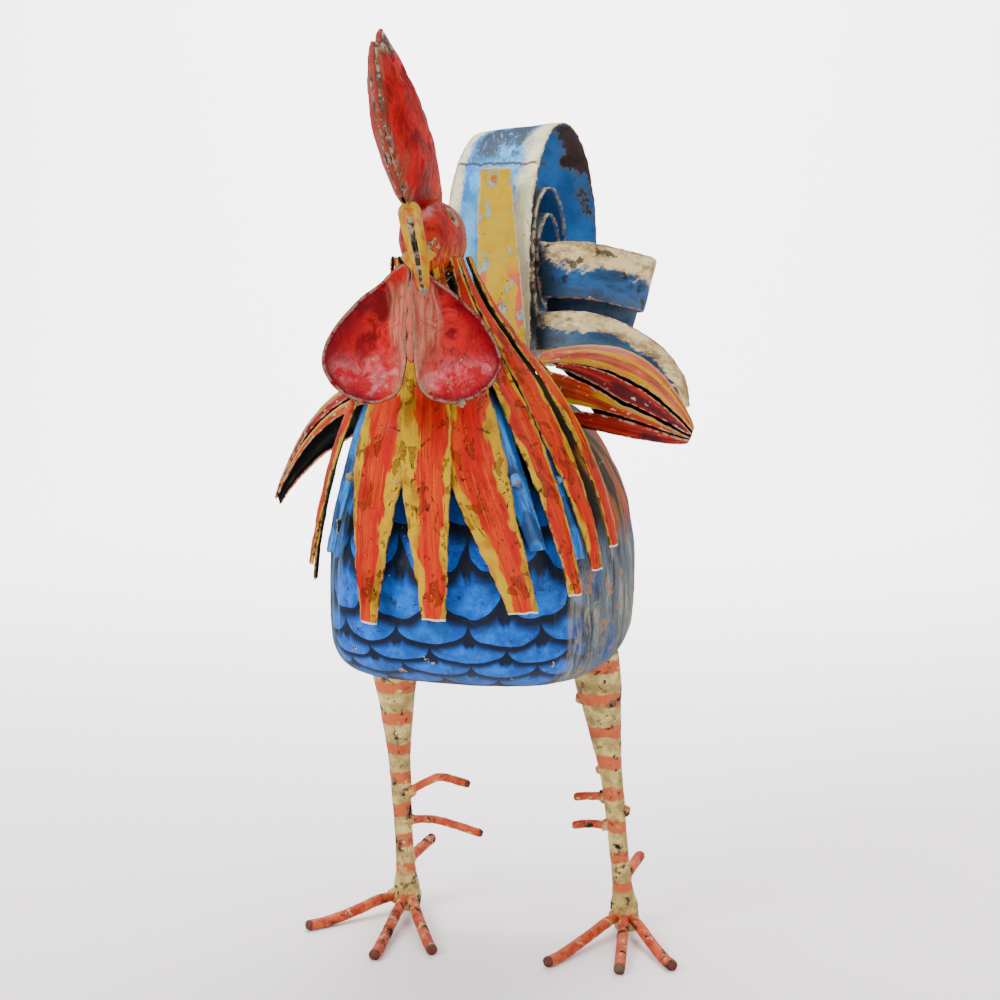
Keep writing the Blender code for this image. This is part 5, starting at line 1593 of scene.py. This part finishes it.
def make_welds():
    for k, (angle, z, radius, blue) in enumerate(NECK_WELDS):
        material = BLUE_WELD if blue else WELD
        blob(f"neck_weld_{k + 1}", neck_point(angle, z, 0.0002), radius, material, k * 1.7)
    for where in LEGS:
        middle = leg_middle(where, ANKLE_WELD_HEIGHT)
        for k, (name, turn, _) in enumerate(TOES[where]):
            a = math.radians(turn)
            place = middle + Vector((math.sin(a), -math.cos(a), 0)) * ANKLE_WELD_REACH
            blob(f"ankle_weld_{where}_{name}", place, ANKLE_WELD_RADIUS, LEG, 3.1 * k)
        rear = leg_middle(where, REAR_TOE_HEIGHT) + Vector((0, REAR_WELD_REACH, 0))
        blob(f"rear_weld_{where}", rear, REAR_WELD_RADIUS, LEG, 5.0)
        side = 1 if where == "left" else -1
        for k, (name, rows) in enumerate(SPURS[where]):
            foot = leg_middle(where, rows[0][2])
            place = Vector((foot.x - side * leg_radius(rows[0][2]), foot.y, rows[0][2]))
            blob(f"spur_weld_{where}_{name}", place, SPUR_WELD_RADIUS, LEG, 8.0 + k)
    for k, (side, z, radius) in enumerate(LEG_KNOBS):
        place = leg_middle("left", z) + Vector((side * leg_radius(z), 0, 0))
        blob(f"leg_knob_{k + 1}", place, radius, LEG, 20.0 + k)
    path = []
    steps, length = 60, 0.037
    for k in range(steps + 1):
        down = -0.006 - length * k / steps
        path.append(WATTLE_TOP + Vector((0, 0.0012 + 0.0010 * math.sin(k * 0.35), down)))
    bead("wattle_joint_weld", path, WATTLE_SEAM_RADIUS, RED_WELD, 0.0003, ripple=0.04)
    blob("wattle_weld", WATTLE_TOP + WATTLE_WELD, WATTLE_SEAM_RADIUS, WELD, 2.0)


def dress_neck():
    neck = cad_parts["neck"]
    neck = neck if isinstance(neck, bpy.types.Object) else bpy.data.objects[neck]
    # The neck shows only between the strips and takes a near-black coat of painted shade
    for slot in neck.material_slots:
        slot.material = NECK_SHADE_COAT


# Stage, light and camera

def make_stage():
    reach, near, depth, height, bend, steps = 4.0, -3.0, 3.2, 3.6, 1.5, 24
    profile = [(near, 0.0)]
    for k in range(steps + 1):
        a = math.pi / 2 * k / steps
        profile.append((depth - bend + bend * math.sin(a), bend * (1 - math.cos(a))))
    profile.append((depth, height))
    turn = Matrix.Rotation(CAMERA_TURN, 3, "Z")
    points = []
    for y, z in profile:
        for x in (-reach, reach):
            points.append(turn @ Vector((x, y, z - FLOOR_DROP)))
    faces = [(2 * k, 2 * k + 1, 2 * k + 3, 2 * k + 2) for k in range(len(profile) - 1)]
    mesh = bpy.data.meshes.new("backdrop")
    mesh.from_pydata(points, [], faces)
    for polygon in mesh.polygons:
        polygon.use_smooth = True
    g = Graph("backdrop_paint")
    mottle = g.noise(g.place(), 3.0, 2.0)
    colour = g.mix(mottle, (0.925, 0.875, 0.868), (0.930, 0.880, 0.873))
    g.put(g.shader.inputs["Base Color"], colour)
    g.shader.inputs["Roughness"].default_value = 0.9
    g.shader.inputs["Specular IOR Level"].default_value = 0.1
    mesh.materials.append(g.material)
    floor = bpy.data.objects.new("backdrop", mesh)
    bpy.context.scene.collection.objects.link(floor)
    floor.visible_glossy = False


def area_light(name, place, aim, size, power, colour=(1, 1, 1)):
    light = bpy.data.lights.new(name, "AREA")
    light.shape = "RECTANGLE"
    light.size = size[0]
    light.size_y = size[1]
    light.energy = power
    light.color = colour
    lamp = bpy.data.objects.new(name, light)
    lamp.location = place
    lamp.rotation_euler = (Vector(aim) - Vector(place)).to_track_quat("-Z", "Y").to_euler()
    bpy.context.scene.collection.objects.link(lamp)


def make_light():
    world = bpy.data.worlds.new("studio")
    world.use_nodes = True
    background = world.node_tree.nodes["Background"]
    background.inputs["Color"].default_value = (1.0, 0.985, 0.98, 1.0)
    background.inputs["Strength"].default_value = 0.45
    bpy.context.scene.world = world
    area_light("key", (-0.9, -1.5, 1.3), (0, -0.05, 0.25), (0.9, 0.9), 40.0)
    area_light("fill", (1.5, -1.0, 0.8), (0, 0, 0.22), (0.9, 1.3), 13.0)
    area_light("top", (0.1, 0.3, 1.9), (0, 0, 0.2), (1.4, 1.4), 34.0)
    area_light("wall", (-0.3, 1.2, 2.2), (-0.9, 3.2, 0.7), (2.4, 1.0), 330.0)


def make_camera():
    right = Vector((math.cos(CAMERA_TURN), math.sin(CAMERA_TURN), 0))
    ahead = Vector((-math.sin(CAMERA_TURN), math.cos(CAMERA_TURN), 0))
    look = math.cos(CAMERA_PITCH) * ahead - Vector((0, 0, math.sin(CAMERA_PITCH)))
    up = right.cross(look)
    lens = bpy.data.cameras.new("camera")
    lens.lens = CAMERA_LENS
    lens.sensor_width = 36.0
    lens.clip_start = 0.01
    eye = bpy.data.objects.new("camera", lens)
    eye.matrix_world = Matrix((right, up, -look)).transposed().to_4x4()
    eye.matrix_world.translation = (-ahead * CAMERA_AWAY + right * CAMERA_ASIDE
                                    + Vector((0, 0, CAMERA_HEIGHT)) + SHIFT)
    bpy.context.scene.collection.objects.link(eye)
    bpy.context.scene.camera = eye


make_body()
make_hackles()
make_head()
make_comb()
make_beak()
make_wattles()
make_wings()
make_tail()
make_strips()
make_legs()
make_welds()
dress_neck()
make_stage()
make_light()
make_camera()
